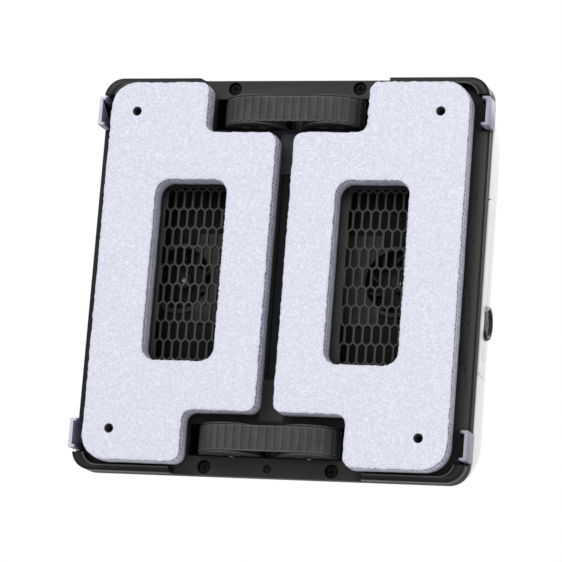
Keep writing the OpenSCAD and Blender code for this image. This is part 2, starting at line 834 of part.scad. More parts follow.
// The notch in the rim that an upper right tab moves in.
module tab_pocket() {
  low = tab_low - tab_gap;
  high = tab_high + tab_gap;
  deep = pocket_in - tab_end_w;
  span(pocket_in, half + tab_t, low, high);
  span(deep, half, low, low + tab_end_t + 2*tab_gap);
  span(deep, half, high - tab_end_t - 2*tab_gap, high);
}

module leg_hole() {
  room = pad_travel + tab_gap;
  span(leg_in - tab_gap, leg_in + leg_w + tab_gap, -leg_half_h - room, leg_half_h + room);
}

module chassis() {
  spine_w = spine_half_w + well_wall;
  color("#2d2d2d") difference() {
    union() {
      along_y(plate_y, plate_back) body_outline(0);
      along_y(plate_y, rim_back) difference() {
        body_outline(0);
        body_outline(rim_wall);
      }
      for (s = [-1, 1]) at_side(s) along_y(plate_y, fan_y) window(-chamber_wall - foam_gap);
      along_y(plate_y, spine_y + spine_floor)
        span(-spine_w, spine_w, -spine_half_l - well_wall, spine_half_l + well_wall);
      quarters() {
        along_y(plate_y, rim_back) disc(screw_at.x, screw_at.y, recess_r + cross_half_w*2);
      }
    }
    for (s = [-1, 1]) at_end(s) {
      along_y(guard_y, plate_back + eps) well_outline(0);
      along_y(plate_back, rim_back + eps) well_outline(well_wall + fit);
    }
    for (s = [-1, 1]) at_side(s) {
      along_y(guard_y, grille_y + grille_t) window(-foam_gap);
      along_y(guard_y, plate_back + eps) window(ledge);
      along_y(plate_back, fan_y + eps) window(-foam_gap);
      along_y(guard_y, plate_back + eps) leg_hole();
    }
    along_y(guard_y, spine_y) span(-spine_half_w, spine_half_w, -spine_half_l, spine_half_l);
    along_y(spine_y + belt_gap, spine_y + spine_floor + eps) circle(pilot_r + run_fit);
    quarters() {
      along_y(guard_y, rim_back + eps) tab_pocket();
      along_y(plate_y - eps, plate_y + recess_d) disc(screw_at.x, screw_at.y, recess_r);
      along_y(plate_y, rim_back + eps) disc(screw_at.x, screw_at.y, screw_r + fit);
      along_y(plate_y - eps, plate_back + eps) disc(pad_hole_x, pad_hole_z, shoulder_r);
    }
    along_y(plate_y - eps, plate_back + eps) disc(0, -screw_at.y, sensor_r);
    for (s = [-1, 1], z = tick_z) at_side(s) along_y(plate_y - eps, plate_y + tick_w)
      translate([tick_x, z]) square([tick_w, tick_h], center = true);
  }
}

module corner_guards() {
  color("#2d2d2d") quarters() guard();
}

// The boxes that the belts run in, on the back of the plate.
module track_wells() {
  color("#2d2d2d") for (s = [-1, 1]) at_end(s) difference() {
    along_y(plate_back, well_back + well_wall) well_outline(well_wall);
    along_y(plate_back - eps, well_back) well_outline(0);
    along_z(belt_z - well_reach - eps, belt_z + well_reach + eps) {
      for (x = [-wheel_x, wheel_x]) {
        disc(x, wheel_y, axle_r);
        span(x - axle_r, x + axle_r, plate_back - eps, wheel_y);
      }
      disc(0, sprocket_y, sprocket_shaft_r + run_fit);
    }
  }
}

// Board posts, screw bosses and the tabs' guides on the back of the plate.
module inner_bosses() {
  color("#2d2d2d") quarters() {
    along_y(plate_back, board_y) disc(post_at.x, post_at.y, post_r);
    along_y(plate_back, shoulder_back + axle_r) difference() {
      disc(pad_hole_x, pad_hole_z, shoulder_boss_r);
      disc(pad_hole_x, pad_hole_z, shoulder_r);
    }
    for (z = [-1, 1]) along_y(plate_back, rim_back)
      translate([0, tab_mid + z*(foot_half_w + belt_gap + guide_t/2)])
        span(foot_in + foot_head_t + tab_travel, pocket_in - tab_end_w - tab_gap, -guide_t/2, guide_t/2);
  }
}

module shell_seal() {
  color("#1c1c1c") along_y(rim_back, shell_front) difference() {
    body_outline(0);
    body_outline(seal_w);
  }
}

function half_x(y) = half + belly - pow(y - belly_y, 2)/belly_curve;
function half_z(y) = half - end_step - end_slope*(y - shell_front);

// Rounded rectangle ring at depth y with half sizes a and b.
function crown_ring(a, b, r, y) =
  let (c = [[a, -b], [a, b], [-a, b], [-a, -b]])
  [for (i = [0:3]) let (arc = corner(c[(i + 3)%4], c[i], c[(i + 1)%4], r, 6))
    each [for (p = arc) [p.x, y, p.y]]];

// The shell's bulging outer form, drawn in by t.
module crown(t, front) {
  side_shares = [0, 0.2, 0.45, 0.7];
  turns = [0, 17, 34, 51, 68, 84];
  dome_shares = [0.82, 0.6, 0.35, 0.12];
  last = turns[5];
  side_ys = [for (f = side_shares) front + (edge_y - front)*f];
  function in_at(f) = back_r*(1 - cos(f));
  function y_at(f) = edge_y + (back_r - t)*sin(f);
  function grow(y) = body_r + (back_corner_r - body_r)*min(1, max(0, (y - front)/(edge_y - front)));
  ye = y_at(last);
  ae = half_x(ye) - in_at(last) - t*cos(last);
  be = half_z(ye) - in_at(last) - t*cos(last);
  rings = concat(
    [for (y = side_ys) crown_ring(half_x(y) - t, half_z(y) - t, grow(y) - t, y)],
    [for (f = turns) let (y = y_at(f))
      crown_ring(half_x(y) - in_at(f) - t*cos(f), half_z(y) - in_at(f) - t*cos(f), back_corner_r - t, y)],
    [for (s = dome_shares)
      crown_ring(ae*s, be*s, (back_corner_r - t)*s, ye + (shell_back - t - ye)*(1 - s*s))]);
  n = len(rings[0]);
  m = len(rings);
  polyhedron([for (r = rings) each r], concat(
    [[for (j = [n - 1:-1:0]) j]], [[for (j = [0:n - 1]) (m - 1)*n + j]],
    [for (i = [0:m - 2], j = [0:n - 1])
      let (a = i*n + j, b = i*n + (j + 1)%n, c = a + n, e = b + n) each [[a, e, c], [a, b, e]]]),
    convexity = 4);
}

// A side panel's outline in the Y-Z plane, drawn out by g.
module panel_outline(g) {
  mid_y = (shell_front + panel_back)/2;
  mid_z = (panel_top + panel_low)/2;
  translate([mid_y, mid_z])
    round_rect((panel_back - shell_front)/2 + g, (panel_top - panel_low)/2 + g, panel_r);
  intersection() {
    translate([nozzle_y, nozzle_z]) circle(nozzle_r + g);
    translate([shell_front - g, nozzle_z - half]) square([half, 2*half]);
  }
}

module shell() {
  color("white") difference() {
    union() {
      difference() {
        crown(0, shell_front);
        crown(shell_t, shell_front - shell_t);
      }
      quarters() along_y(shell_front, screw_back + screw_r) disc(screw_at.x, screw_at.y, shell_boss_r);
    }
    for (s = [-1, 1]) at_side(s) {
      along_x(tank_in, half + 2*back_r) {
        panel_outline(panel_gap);
        translate([shell_front - shell_t, panel_low - panel_gap])
          square([shell_t + panel_r, panel_top - panel_low + 2*panel_gap]);
      }
      for (i = [0:slots - 1]) along_y(edge_y, shell_back + eps)
        translate([fan_x + (i - (slots - 1)/2)*slot_pitch, 0])
          round_rect(slot_half_w, slot_half_h, slot_half_w - eps);
    }
    quarters() along_y(shell_front - eps, screw_back) disc(screw_at.x, screw_at.y, screw_r + fit);
    along_y(edge_y, shell_back + eps) {
      circle(button_r + button_gap);
      disc(0, lens_z, lens_r + fit);
      disc(inlet_at.x, inlet_at.y, socket_r + fit);
    }
    along_y(edge_y, shell_back + eps)
      span(-eye_half_t - fit, eye_half_t + fit, eye_z - eye_r - fit, eye_z + eye_r + fit);
  }
}

// The right-hand honeycomb: upright cells with shallow points, every other row shifted.
module honeycomb() {
  difference() {
    window(-foam_gap);
    intersection() {
      difference() {
        window(cell_wall);
        span(0, grille_strip, -half, half);
      }
      for (k = [0:len(rows)]) {
        high = k == 0 ? rows[0] + (rows[0] - rows[1]) : rows[k - 1];
        low = k == len(rows) ? rows[k - 1] - (rows[0] - rows[1]) : rows[k];
        shift = k%2 == 1 ? 0 : -cell_w/2;
        for (i = [0:cells]) translate([row_start + shift + i*cell_w, 0]) {
          a = cell_wall/2;
          b = cell_w - cell_wall/2;
          bottom = low + cell_rise/2 + a/2;
          top = high - cell_rise/2 - a/2;
          polygon([[a, bottom], [cell_w/2, low - cell_rise/2 + a], [b, bottom],
            [b, top], [cell_w/2, high + cell_rise/2 - a], [a, top]]);
        }
      }
    }
  }
}

module grille(s) {
  color("#464843") at_side(s) along_y(grille_y, grille_y + grille_t) honeycomb();
}

module inlet_plate(s) {
  color("gray") at_side(s) along_y(fan_y - impeller_gap, fan_y) difference() {
    union() {
      span(win_in + foam_gap, fan_x - inlet_side, -inlet_half_h, inlet_half_h);
      intersection() {
        disc(fan_x, 0, inlet_ring_r);
        span(win_in + foam_gap, win_out, -half, half);
      }
    }
    disc(fan_x, 0, inlet_r + foam_gap);
  }
}

module fan_housing(s) {
  color("#232323") at_side(s) {
    along_y(fan_y, fan_y + fan_plate_t) difference() {
      union() {
        window(-chamber_wall - foam_gap);
        disc(fan_x, 0, fan_r);
      }
      disc(fan_x, 0, inlet_r);
    }
    difference() {
      along_y(fan_y + fan_plate_t, fan_back) difference() {
        disc(fan_x, 0, fan_r);
        disc(fan_x, 0, fan_r - fan_wall);
      }
      translate([fan_x, 0, 0]) for (a = [60, 120, 240, 300]) rotate([0, a, 0])
        translate([fan_r, fan_y + 2*fan_plate_t + blade_d/2, 0])
          cube([4*fan_wall, blade_d, 8*fan_wall], center = true);
    }
    along_y(fan_back - fan_plate_t, fan_back) difference() {
      disc(fan_x, 0, fan_r);
      disc(fan_x, 0, hub_r);
    }
  }
}

module impeller(s) {
  disc_y = impeller_y + blade_d;
  color("gainsboro") at_side(s) difference() {
    union() {
      along_y(disc_y, disc_y + impeller_disc_t) disc(fan_x, 0, impeller_r);
      along_y(impeller_y + blade_t, disc_y + impeller_disc_t) disc(fan_x, 0, hub_r);
      translate([fan_x, 0, 0]) for (i = [1:blades]) rotate([0, i*360/blades, 0])
        translate([impeller_r*blade_shares[0], impeller_y + blade_d/2, 0]) rotate([0, blade_turn, 0])
          cube([impeller_r*blade_shares[1], blade_d + eps, blade_t], center = true);
    }
    along_y(impeller_y, disc_y + impeller_disc_t + eps) disc(fan_x, 0, fan_shaft_r + run_fit);
  }
}

module fan_motor(s) {
  color("slategray") at_side(s) {
    along_y(fan_back, fan_back + fan_motor_l) disc(fan_x, 0, fan_motor_r);
    along_y(impeller_y + 2*blade_t, fan_back) disc(fan_x, 0, fan_shaft_r);
  }
}

module tank_box(d) {
  low = panel_low + tank_end_gap + d;
  high = panel_top - tank_end_gap - d;
  translate([(tank_front + tank_back)/2, (low + high)/2])
    round_rect((tank_back - tank_front)/2 - d, (high - low)/2, panel_r - d);
}

module water_tank(s) {
  color("lightblue") at_side(s) difference() {
    along_x(tank_in, tank_out) tank_box(0);
    along_x(tank_in + tank_wall, tank_out - tank_wall) tank_box(tank_wall);
    along_x(tank_out - 2*tank_wall, tank_out + eps)
      translate([(tank_front + tank_back)/2, panel_top/2]) circle(cap_r - tank_wall);
  }
}

module tank_cap(s) {
  y = (tank_front + tank_back)/2;
  color("#222222") at_side(s) {
    along_x(tank_out, tank_out + cap_h/2) translate([y, panel_top/2]) circle(cap_r);
    along_x(tank_out - tank_wall, tank_out) translate([y, panel_top/2]) circle(cap_r - tank_wall - eps);
  }
}

// The side wall between the seams, as a flat outline in the X-Y plane.
module side_wall(t) {
  ys = [for (k = [0:4]) shell_front + (panel_back - shell_front + nozzle_r)*k/4];
  polygon(concat([for (y = ys) [half_x(y), y]], [for (k = [4:-1:0]) [half_x(ys[k]) - t, ys[k]]]));
}

module tank_cover(s) {
  color("whitesmoke") at_side(s) difference() {
    union() {
      intersection() {
        along_z(panel_low, panel_top) side_wall(shell_t);
        along_x(tank_in, half + back_r) panel_outline(0);
      }
      for (z = [panel_low + tank_end_gap, holder_z, panel_top - tank_end_gap - 2*holder_w])
        along_z(z, z + holder_w) span(tank_out, half_x(shell_front) - shell_t/2,
          tank_front + tank_wall, tank_back - 2*tank_wall);
    }
    along_x(nozzle_in - eps, nozzle_out) translate([nozzle_y, nozzle_z]) circle(nozzle_r - 2*tank_wall);
    along_y(shell_front + shell_t, panel_back - shell_t)
      disc(half_x(shell_front) + scoop_r - scoop_in, scoop_z, scoop_r);
  }
}

module nozzle_bezel(s) {
  color("#1a1a1a") at_side(s) along_x(nozzle_in, nozzle_out) translate([nozzle_y, nozzle_z]) difference() {
    circle(nozzle_r - 2*tank_wall - eps);
    circle(mist_r - tank_wall);
  }
}

module mist_disc(s) {
  color("dimgray") at_side(s) along_x(nozzle_in, mist_out) translate([nozzle_y, nozzle_z])
    circle(mist_r - tank_wall - eps);
}

module bumper(sx, sz) {
  color("#a09eaf") at_side(sx) at_end(sz) {
    along_y(tab_front, tab_back) {
      span(tab_in, tab_out, tab_low, tab_high);
      for (z = [tab_low, tab_high - tab_end_t]) span(tab_in - tab_end_w, tab_in, z, z + tab_end_t);
    }
    along_y(foot_y, foot_y + foot_t) {
      span(foot_in, tab_in, tab_mid - foot_half_w, tab_mid + foot_half_w);
      span(foot_in, foot_in + foot_head_t, tab_mid - foot_head_half_w, tab_mid + foot_head_half_w);
    }
  }
}

module bumper_springs() {
  x = foot_in - tab_travel - spring_t - 2*belt_gap;
  color("silver") quarters() {
    along_y(plate_back, rim_back)
      span(x - spring_foot, x + spring_t, tab_low - 2*spring_foot, tab_low - spring_foot);
    along_y(foot_y, rim_back) span(x, x + spring_t, tab_low - spring_foot, tab_mid - foot_half_w/2);
  }
}

module bumper_switches() {
  x = foot_in - tab_travel - 2*belt_gap;
  z = tab_mid + foot_half_w/2 + belt_gap;
  color("#303030") quarters() {
    along_y(plate_back, rim_back + fit) span(x - switch_l, x - tab_end_t, z, z + switch_h);
    along_y(foot_y, foot_y + foot_t) span(x - tab_end_t, x, z + switch_h/3, z + switch_h*2/3);
  }
}

module battery_pack() {
  out = tank_in - battery_room.x;
  in = track_motor_r + battery_room.y;
  top = belt_z - well_reach - battery_room.z - battery.x;
  color("royalblue") along_y(plate_back, plate_back + battery.y)
    translate([-(out + in)/2, -top - battery.x/2]) round_rect((out - in)/2, battery.x/2, panel_r);
}

module main_board() {
  color("darkgreen") along_y(board_y, board_y + board_t)
    square([2*board_half.x, 2*board_half.y], center = true);
  color("black") for (z = chip_z) along_y(board_y + board_t, board_y + 3*board_t)
    translate([0, z]) square(chip, center = true);
  color("black") along_y(board_y + board_t, board_y + 2*board_t) circle(stem_r);
}

module power_button() {
  back = shell_back + fit;
  stem_end = board_y + 2*board_t + button_travel + belt_gap;
  color("silver") {
    along_y(back - button_t, back) circle(button_r);
    along_y(back - button_t - board_t, back - button_t) circle(button_r + 2*button_gap);
    along_y(stem_end, back - button_t - board_t) circle(stem_r);
  }
}

module indicator_lens() {
  color("skyblue") along_y(shell_back - 2*shell_t, shell_back - fit) disc(0, lens_z, lens_r);
}

module power_inlet() {
  color("#202020") along_y(shell_back - socket_l, shell_back - 2*fit) translate(inlet_at) difference() {
    circle(socket_r);
    circle(socket_hole_r);
  }
  color("#202020") along_y(shell_back - socket_l - shell_t, shell_back - socket_l)
    translate(inlet_at) circle(socket_r);
}

module rope_eye() {
  color("silver") along_x(-eye_half_t, eye_half_t) difference() {
    union() {
      translate([eye_y, eye_z]) circle(eye_r);
      translate([eye_y - 2*eye_r, eye_z - eye_r]) square([2*eye_r, 2*eye_r]);
    }
    translate([eye_y, eye_z]) circle(eye_hole_r);
  }
  color("silver") along_y(eye_y - 2*eye_r - shell_t, eye_y - 2*eye_r)
    span(-eye_r, eye_r, eye_z - eye_r, eye_z + eye_r);
}

module housing_screws() {
  seat = plate_y + recess_d;
  color("silver") quarters() {
    along_y(seat - head_h, seat) difference() {
      disc(screw_at.x, screw_at.y, head_r);
      for (t = [0, 1]) translate(screw_at) rotate(90*t) square([1.2*head_r, 2*cross_half_w], center = true);
    }
    along_y(seat - head_h/3, screw_back) disc(screw_at.x, screw_at.y, screw_r);
  }
}

module edge_sensor() {
  color("black") along_y(plate_y + fit, plate_back + shell_t) disc(0, -screw_at.y, sensor_r);
}

chassis();
corner_guards();
track_wells();
inner_bosses();
shell();
shell_seal();
grille(-1);  // grille_left
grille(1);  // grille_right
inlet_plate(-1);  // inlet_plate_left
inlet_plate(1);  // inlet_plate_right
pad(-1);  // pad_left
pad(1);  // pad_right
foam(-1);  // foam_left
foam(1);  // foam_right
carrier(-1);  // carrier_left
carrier(1);  // carrier_right
carrier_screws();
eccentric();
pad_drive_motor();
belt(1);  // track_belt_top
belt(-1);  // track_belt_bottom
wheel(-1, 1);  // wheel_top_left
wheel(1, 1);  // wheel_top_right
wheel(-1, -1);  // wheel_bottom_left
wheel(1, -1);  // wheel_bottom_right
wheel_axles();
sprocket(1);  // sprocket_top
sprocket(-1);  // sprocket_bottom
track_motor(1);  // track_motor_top
track_motor(-1);  // track_motor_bottom
fan_housing(-1);  // fan_housing_left
fan_housing(1);  // fan_housing_right
impeller(-1);  // impeller_left
impeller(1);  // impeller_right
fan_motor(-1);  // fan_motor_left
fan_motor(1);  // fan_motor_right
water_tank(-1);  // water_tank_left
water_tank(1);  // water_tank_right
tank_cap(-1);  // tank_cap_left
tank_cap(1);  // tank_cap_right
tank_cover(-1);  // tank_cover_left
tank_cover(1);  // tank_cover_right
nozzle_bezel(-1);  // nozzle_bezel_left
nozzle_bezel(1);  // nozzle_bezel_right
mist_disc(-1);  // mist_disc_left
mist_disc(1);  // mist_disc_right
bumper(-1, 1);  // bumper_top_left
bumper(1, 1);  // bumper_top_right
bumper(-1, -1);  // bumper_bottom_left
bumper(1, -1);  // bumper_bottom_right
bumper_springs();
bumper_switches();
battery_pack();
main_board();
power_button();
indicator_lens();
power_inlet();
rope_eye();
housing_screws();
edge_sensor();
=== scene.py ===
"""Looks of the window cleaning robot, laid out as a Blender add-on and run as a script."""

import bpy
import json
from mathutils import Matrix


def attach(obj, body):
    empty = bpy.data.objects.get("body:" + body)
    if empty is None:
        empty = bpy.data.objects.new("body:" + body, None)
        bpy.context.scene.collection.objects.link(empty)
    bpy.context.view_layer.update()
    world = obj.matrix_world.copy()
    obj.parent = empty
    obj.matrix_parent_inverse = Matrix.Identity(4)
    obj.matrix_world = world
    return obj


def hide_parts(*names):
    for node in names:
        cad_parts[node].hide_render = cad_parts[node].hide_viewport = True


bl_info = {
    "name": "Window cleaning robot",
    "version": (1, 0, 0),
    "blender": (4, 5, 0),
    "location": "3D View > Sidebar > Robot",
    "description": "Dresses the packed window cleaning robot and sets its stage",
    "category": "Object",
}

import json
import math

import bmesh
import bpy
import numpy as np
from bpy.props import FloatProperty, FloatVectorProperty, IntProperty, PointerProperty
from mathutils import Matrix

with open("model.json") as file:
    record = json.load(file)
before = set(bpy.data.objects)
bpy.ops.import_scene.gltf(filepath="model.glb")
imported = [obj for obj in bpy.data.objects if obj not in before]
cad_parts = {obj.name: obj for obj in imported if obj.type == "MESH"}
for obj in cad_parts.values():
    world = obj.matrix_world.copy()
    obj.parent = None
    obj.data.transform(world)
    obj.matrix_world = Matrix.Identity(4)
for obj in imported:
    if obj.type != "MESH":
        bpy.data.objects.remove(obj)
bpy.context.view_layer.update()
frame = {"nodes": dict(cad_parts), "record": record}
MM = 0.001
ROOT = "robot"
SIDES = {"left": -1.0, "right": 1.0}
ENDS = {"top": 1.0, "bottom": -1.0}


def srgb(red, green, blue):
    """Display values from 0 to 255 as linear light, by the usual 2.4 power with its straight foot."""
    c = np.array([red, green, blue], float) / 255.0
    return tuple(np.where(c <= 0.04045, c / 12.92, ((c + 0.055) / 1.055) ** 2.4))


def grey(level):
    return srgb(level, level, level)


def shade(colour, factor, lift=0.0):
    """A colour times a factor plus a lift, with each part held at 1."""
    return tuple(min(1.0, v * factor + lift) for v in colour)


def add_node(tree, kind, settings, values):
    """One node: its settings first, then the values or links of its sockets."""
    made = tree.nodes.new(kind)
    for key, value in settings.items():
        setattr(made, key, value)
    for key, value in values.items():
        socket = made.inputs[key]
        source = value.socket if isinstance(value, Field) else value
        if isinstance(source, bpy.types.NodeSocket):
            tree.links.new(source, socket)
        else:
            socket.default_value = source
    return made


def node_math(kind, swapped=False):
    """A method of Field that adds one Math node of a kind."""
    def method(self, other=None):
        first, second = (other, self) if swapped else (self, other)
        values = {0: first} if second is None else {0: first, 1: second}
        return Field(self.finish, self.finish.add("ShaderNodeMath", {"operation": kind}, values).outputs[0])

    return method


class Field:
    """A value that varies over a surface; Python's operators on it add Math nodes."""

    def __init__(self, finish, socket):
        self.finish = finish
        self.socket = socket

    __add__ = __radd__ = node_math("ADD")
    __sub__ = node_math("SUBTRACT")
    __rsub__ = node_math("SUBTRACT", True)
    __mul__ = __rmul__ = node_math("MULTIPLY")
    __truediv__ = node_math("DIVIDE")
    __pow__ = node_math("POWER")
    __abs__ = node_math("ABSOLUTE")
    sine = node_math("SINE")
    at_least = node_math("MAXIMUM")
    at_most = node_math("MINIMUM")

    def clamp(self):
        return self.at_least(0.0).at_most(1.0)

    def above(self, edge, width):
        """0 below edge, 1 past edge + width, straight between."""
        return ((self - edge) / width).clamp()

    def below(self, edge, width):
        """1 below edge, 0 past edge + width, straight between."""
        return 1.0 - self.above(edge, width)

    def near(self, width):
        """1 where the value is 0, falling straight to 0 at width on both sides."""
        return 1.0 - (abs(self) / width).clamp()


class Finish:
    """One material: a Principled surface and the nodes that feed it."""

    def __init__(self, name, colour, roughness, metallic=0.0):
        self.material = bpy.data.materials.new(name)
        self.material.use_nodes = True
        self.tree = self.material.node_tree
        self.tree.nodes.clear()
        self.shader = self.add("ShaderNodeBsdfPrincipled", {}, {
            "Base Color": (*colour, 1.0), "Roughness": roughness, "Metallic": metallic})
        self.add("ShaderNodeOutputMaterial", {}, {"Surface": self.shader.outputs[0]})
        self.where = self.add("ShaderNodeTexCoord", {}, {})
        self.material.diffuse_color = (*colour, 1.0)

    def add(self, kind, settings, values):
        return add_node(self.tree, kind, settings, values)

    def place(self):
        return self.where.outputs["Object"]

    def along(self, axis):
        """The place along X, Y or Z in millimetres."""
        split = self.add("ShaderNodeSeparateXYZ", {}, {0: self.place()})
        return Field(self, split.outputs["XYZ".index(axis)]) * (1.0 / MM)

    def sewn(self):
        """Millimetres along the piece's rim, from its own UV."""
        split = self.add("ShaderNodeSeparateXYZ", {}, {0: self.where.outputs["UV"]})
        return Field(self, split.outputs[0])

    def noise(self, size_mm, detail=3.0, rough=0.55, place=None):
        """Cloudy noise whose blobs are about size_mm across."""
        made = self.add("ShaderNodeTexNoise", {}, {"Vector": place or self.place(), "Detail": detail,
                                                   "Scale": 1.0 / (size_mm * MM), "Roughness": rough})
        return Field(self, made.outputs[0])

    def cells(self, size_mm):
        """Distance from the middle of cells about size_mm across."""
        made = self.add("ShaderNodeTexVoronoi", {}, {"Vector": self.place(), "Scale": 1.0 / (size_mm * MM)})
        return Field(self, made.outputs[0])

    def blend(self, share, low, high):
        """Mixes two colours by a share from 0 to 1."""
        low, high = ((*colour, 1.0) if isinstance(colour, tuple) else colour for colour in (low, high))
        made = self.add("ShaderNodeMix", {"data_type": "RGBA"}, {"Factor": share, 6: low, 7: high})
        return made.outputs[2]

    def paint(self, colour):
        self.tree.links.new(colour, self.shader.inputs["Base Color"])

    def rough(self, value):
        self.tree.links.new(value.socket, self.shader.inputs["Roughness"])

    def level(self, name, value):
        """Sets one of the shader's own values, the same all over."""
        self.shader.inputs[name].default_value = value

    def bump(self, height, depth_mm, strength=1.0):
        made = self.add("ShaderNodeBump", {}, {
            "Strength": strength, "Distance": depth_mm * MM, "Height": height})
        self.tree.links.new(made.outputs[0], self.shader.inputs["Normal"])


def moulded(name, colour, roughness, grain=0.35, depth=0.02, wear=0.06, gloss=0.5):
    """Moulded plastic: fine grain in the surface, slow drift in tone and gloss."""
    f = Finish(name, colour, roughness)
    drift = f.noise(34.0, 2.0)
    fine = f.noise(grain, 2.0)
    f.paint(f.blend(drift, shade(colour, 1.0 - wear), shade(colour, 1.0 + wear, 0.002)))
    f.rough(roughness - 0.05 + drift * 0.06 + fine * 0.04)
    f.bump(fine, depth)
    f.level("Specular IOR Level", gloss)
    return f.material


def metal(name, colour, roughness, axis="Z"):
    """Turned or drawn metal: fine streaks across one axis."""
    f = Finish(name, colour, roughness, 1.0)
    across = f.add("ShaderNodeMapping", {}, {"Vector": f.place(), "Scale": tuple(
        12.0 if a == axis else 1.0 for a in "XYZ")})
    streak = f.noise(2.4, 3.0, 0.6, across.outputs[0])
    f.paint(f.blend(streak, shade(colour, 0.86), shade(colour, 1.08)))
    f.rough(roughness - 0.06 + streak * 0.12)
    f.bump(streak, 0.01)
    return f.material


def mesh_object(name, points, faces, smooth_angle=35.0):
    """A mesh from points in millimetres and faces, put into the scene in metres."""
    mesh = bpy.data.meshes.new(name)
    mesh.from_pydata((np.asarray(points, float) * MM).tolist(), [], [list(map(int, f)) for f in faces])
    mesh.update()
    made = bpy.data.objects.new(name, mesh)
    bpy.context.scene.collection.objects.link(made)
    smooth(made, smooth_angle)
    return made


def smooth(made, angle):
    """Smooth shading, with edges sharper than angle in degrees kept sharp."""
    mesh = made.data
    mesh.polygons.foreach_set("use_smooth", [True] * len(mesh.polygons))
    mesh.set_sharp_from_angle(angle=math.radians(angle))


def grid_faces(rows, columns, wrap_rows=False, wrap_columns=True, flip=False, start=0):
    """Quads between the points of a rows by columns grid, wrapped where it closes on itself.

    The grid's first point is number start of the mesh."""
    r = np.arange(rows if wrap_rows else rows - 1)
    c = np.arange(columns if wrap_columns else columns - 1)
    i, j = np.meshgrid(r, c, indexing="ij")
    i, j = i.ravel(), j.ravel()
    k, m = (i + 1) % rows, (j + 1) % columns
    quads = np.stack([i * columns + j, i * columns + m, k * columns + m, k * columns + j], 1) + start
    return (quads[:, ::-1] if flip else quads).tolist()


def outward(made):
    """Turns every face of a closed mesh to point outwards."""
    work = bmesh.new()
    work.from_mesh(made.data)
    bmesh.ops.recalc_face_normals(work, faces=work.faces)
    work.to_mesh(made.data)
    work.free()


def prism(name, outline, low, high, axis):
    """A flat outline of two coordinates drawn out along the third axis, for cutting."""
    n = len(outline)
    ring = np.zeros((2, n, 3))
    others = [a for a in range(3) if a != axis]
    for k, value in enumerate((low, high)):
        ring[k][:, others[0]] = outline[:, 0]
        ring[k][:, others[1]] = outline[:, 1]
        ring[k][:, axis] = value
    faces = grid_faces(2, n) + [list(range(n))[::-1], list(range(n, 2 * n))]
    made = mesh_object(name, ring.reshape(-1, 3), faces)
    outward(made)
    return made


def rounded_rectangle(a, b, r, steps=8, centre=(0.0, 0.0)):
    """Outline of a rectangle of half sizes a and b with corner arcs of radius r."""
    turn = np.linspace(0.0, math.pi / 2, steps + 1)
    arcs = []
    for k, (sx, sy) in enumerate(((1, 1), (-1, 1), (-1, -1), (1, -1))):
        angle = turn + k * math.pi / 2
        arcs.append(np.stack([sx * (a - r) + r * np.cos(angle), sy * (b - r) + r * np.sin(angle)], 1))
    return np.concatenate(arcs) + np.array(centre)


def circle(r, steps=48, centre=(0.0, 0.0)):
    """Points of cosine and sine at equal steps round a centre."""
    angle = np.arange(steps) * 2 * math.pi / steps
    return np.stack([r * np.cos(angle), r * np.sin(angle)], 1) + np.array(centre)


def cut(made, cutters, operation="DIFFERENCE"):
    """Applies one exact Boolean of each cutter and removes the cutters."""
    for cutter in cutters:
        step = made.modifiers.new("cut", "BOOLEAN")
        step.operation = operation
        step.object = cutter
        step.solver = "EXACT"
        apply_modifiers(made)
        bpy.data.objects.remove(cutter)


def apply_modifiers(made):
    """Replaces the mesh by what its modifiers make of it."""
    bpy.context.view_layer.update()
    seen = made.evaluated_get(bpy.context.evaluated_depsgraph_get())
    fresh = bpy.data.meshes.new_from_object(seen)
    old = made.data
    made.modifiers.clear()
    made.data = fresh
    bpy.data.meshes.remove(old)


def clean(made, angle=0.4):
    """Merges doubles and joins triangles that lie in one plane."""
    work = bmesh.new()
    work.from_mesh(made.data)
    bmesh.ops.remove_doubles(work, verts=work.verts, dist=2e-6)
    bmesh.ops.dissolve_limit(work, angle_limit=math.radians(angle), verts=work.verts, edges=work.edges)
    work.to_mesh(made.data)
    work.free()


def bevelled(made, width, segments, angle):
    """Rounds every edge sharper than angle by width in millimetres."""
    step = made.modifiers.new("edge", "BEVEL")
    step.width = width * MM
    step.segments = segments
    step.limit_method = "ANGLE"
    step.angle_limit = math.radians(angle)


def settle(made, body, slot, material, *nodes):
    """Gives a piece its body and material and hides the CAD nodes that it stands for; slot is not used."""
    if material is not None:
        made.data.materials.clear()
        made.data.materials.append(material)
    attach(made, body)
    if nodes:
        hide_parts(*nodes)
    return made


def body_of(node):
    bodies = frame["record"]["behaviour"]["bodies"]
    return next(body for body, members in bodies.items() if node in members)


def slot_of(node):
    return next(entry["material_slot"] for entry in frame["record"]["subparts"] if entry["node"] == node)


def refined(node, name, material, width=0.35, segments=2, angle=40.0):
    """A merged copy of a CAD node with rounded edges, in place of the node."""
    made = bpy.data.objects.new(name, frame["nodes"][node].data.copy())
    bpy.context.scene.collection.objects.link(made)
    clean(made)
    bevelled(made, width, segments, angle)
    apply_modifiers(made)
    smooth(made, 32.0)
    return settle(made, body_of(node), slot_of(node), material, node)


def coat(node, material):
    """Puts a material on a CAD node whose own shape stays."""
    slots = frame["nodes"][node].data.materials
    slots.clear()
    slots.append(material)


def value_noise(x, z, size, seed):
    """Smooth noise from -1 to 1: a seeded lattice of values, blended by a cubic ease between points."""
    lattice = np.random.default_rng(seed).uniform(-1.0, 1.0, (256, 256))
    u, v = x / size + 100.0, z / size + 100.0
    i, j = np.floor(u).astype(int), np.floor(v).astype(int)
    a, b = u - i, v - j
    a, b = a * a * (3 - 2 * a), b * b * (3 - 2 * b)
    g = lambda p, q: lattice[p % 256, q % 256]
    return ((g(i, j) * (1 - a) + g(i + 1, j) * a) * (1 - b)
            + (g(i, j + 1) * (1 - a) + g(i + 1, j + 1) * a) * b)


def length(name, text, metres):
    return FloatProperty(name=name, description=text, default=metres, unit="LENGTH")


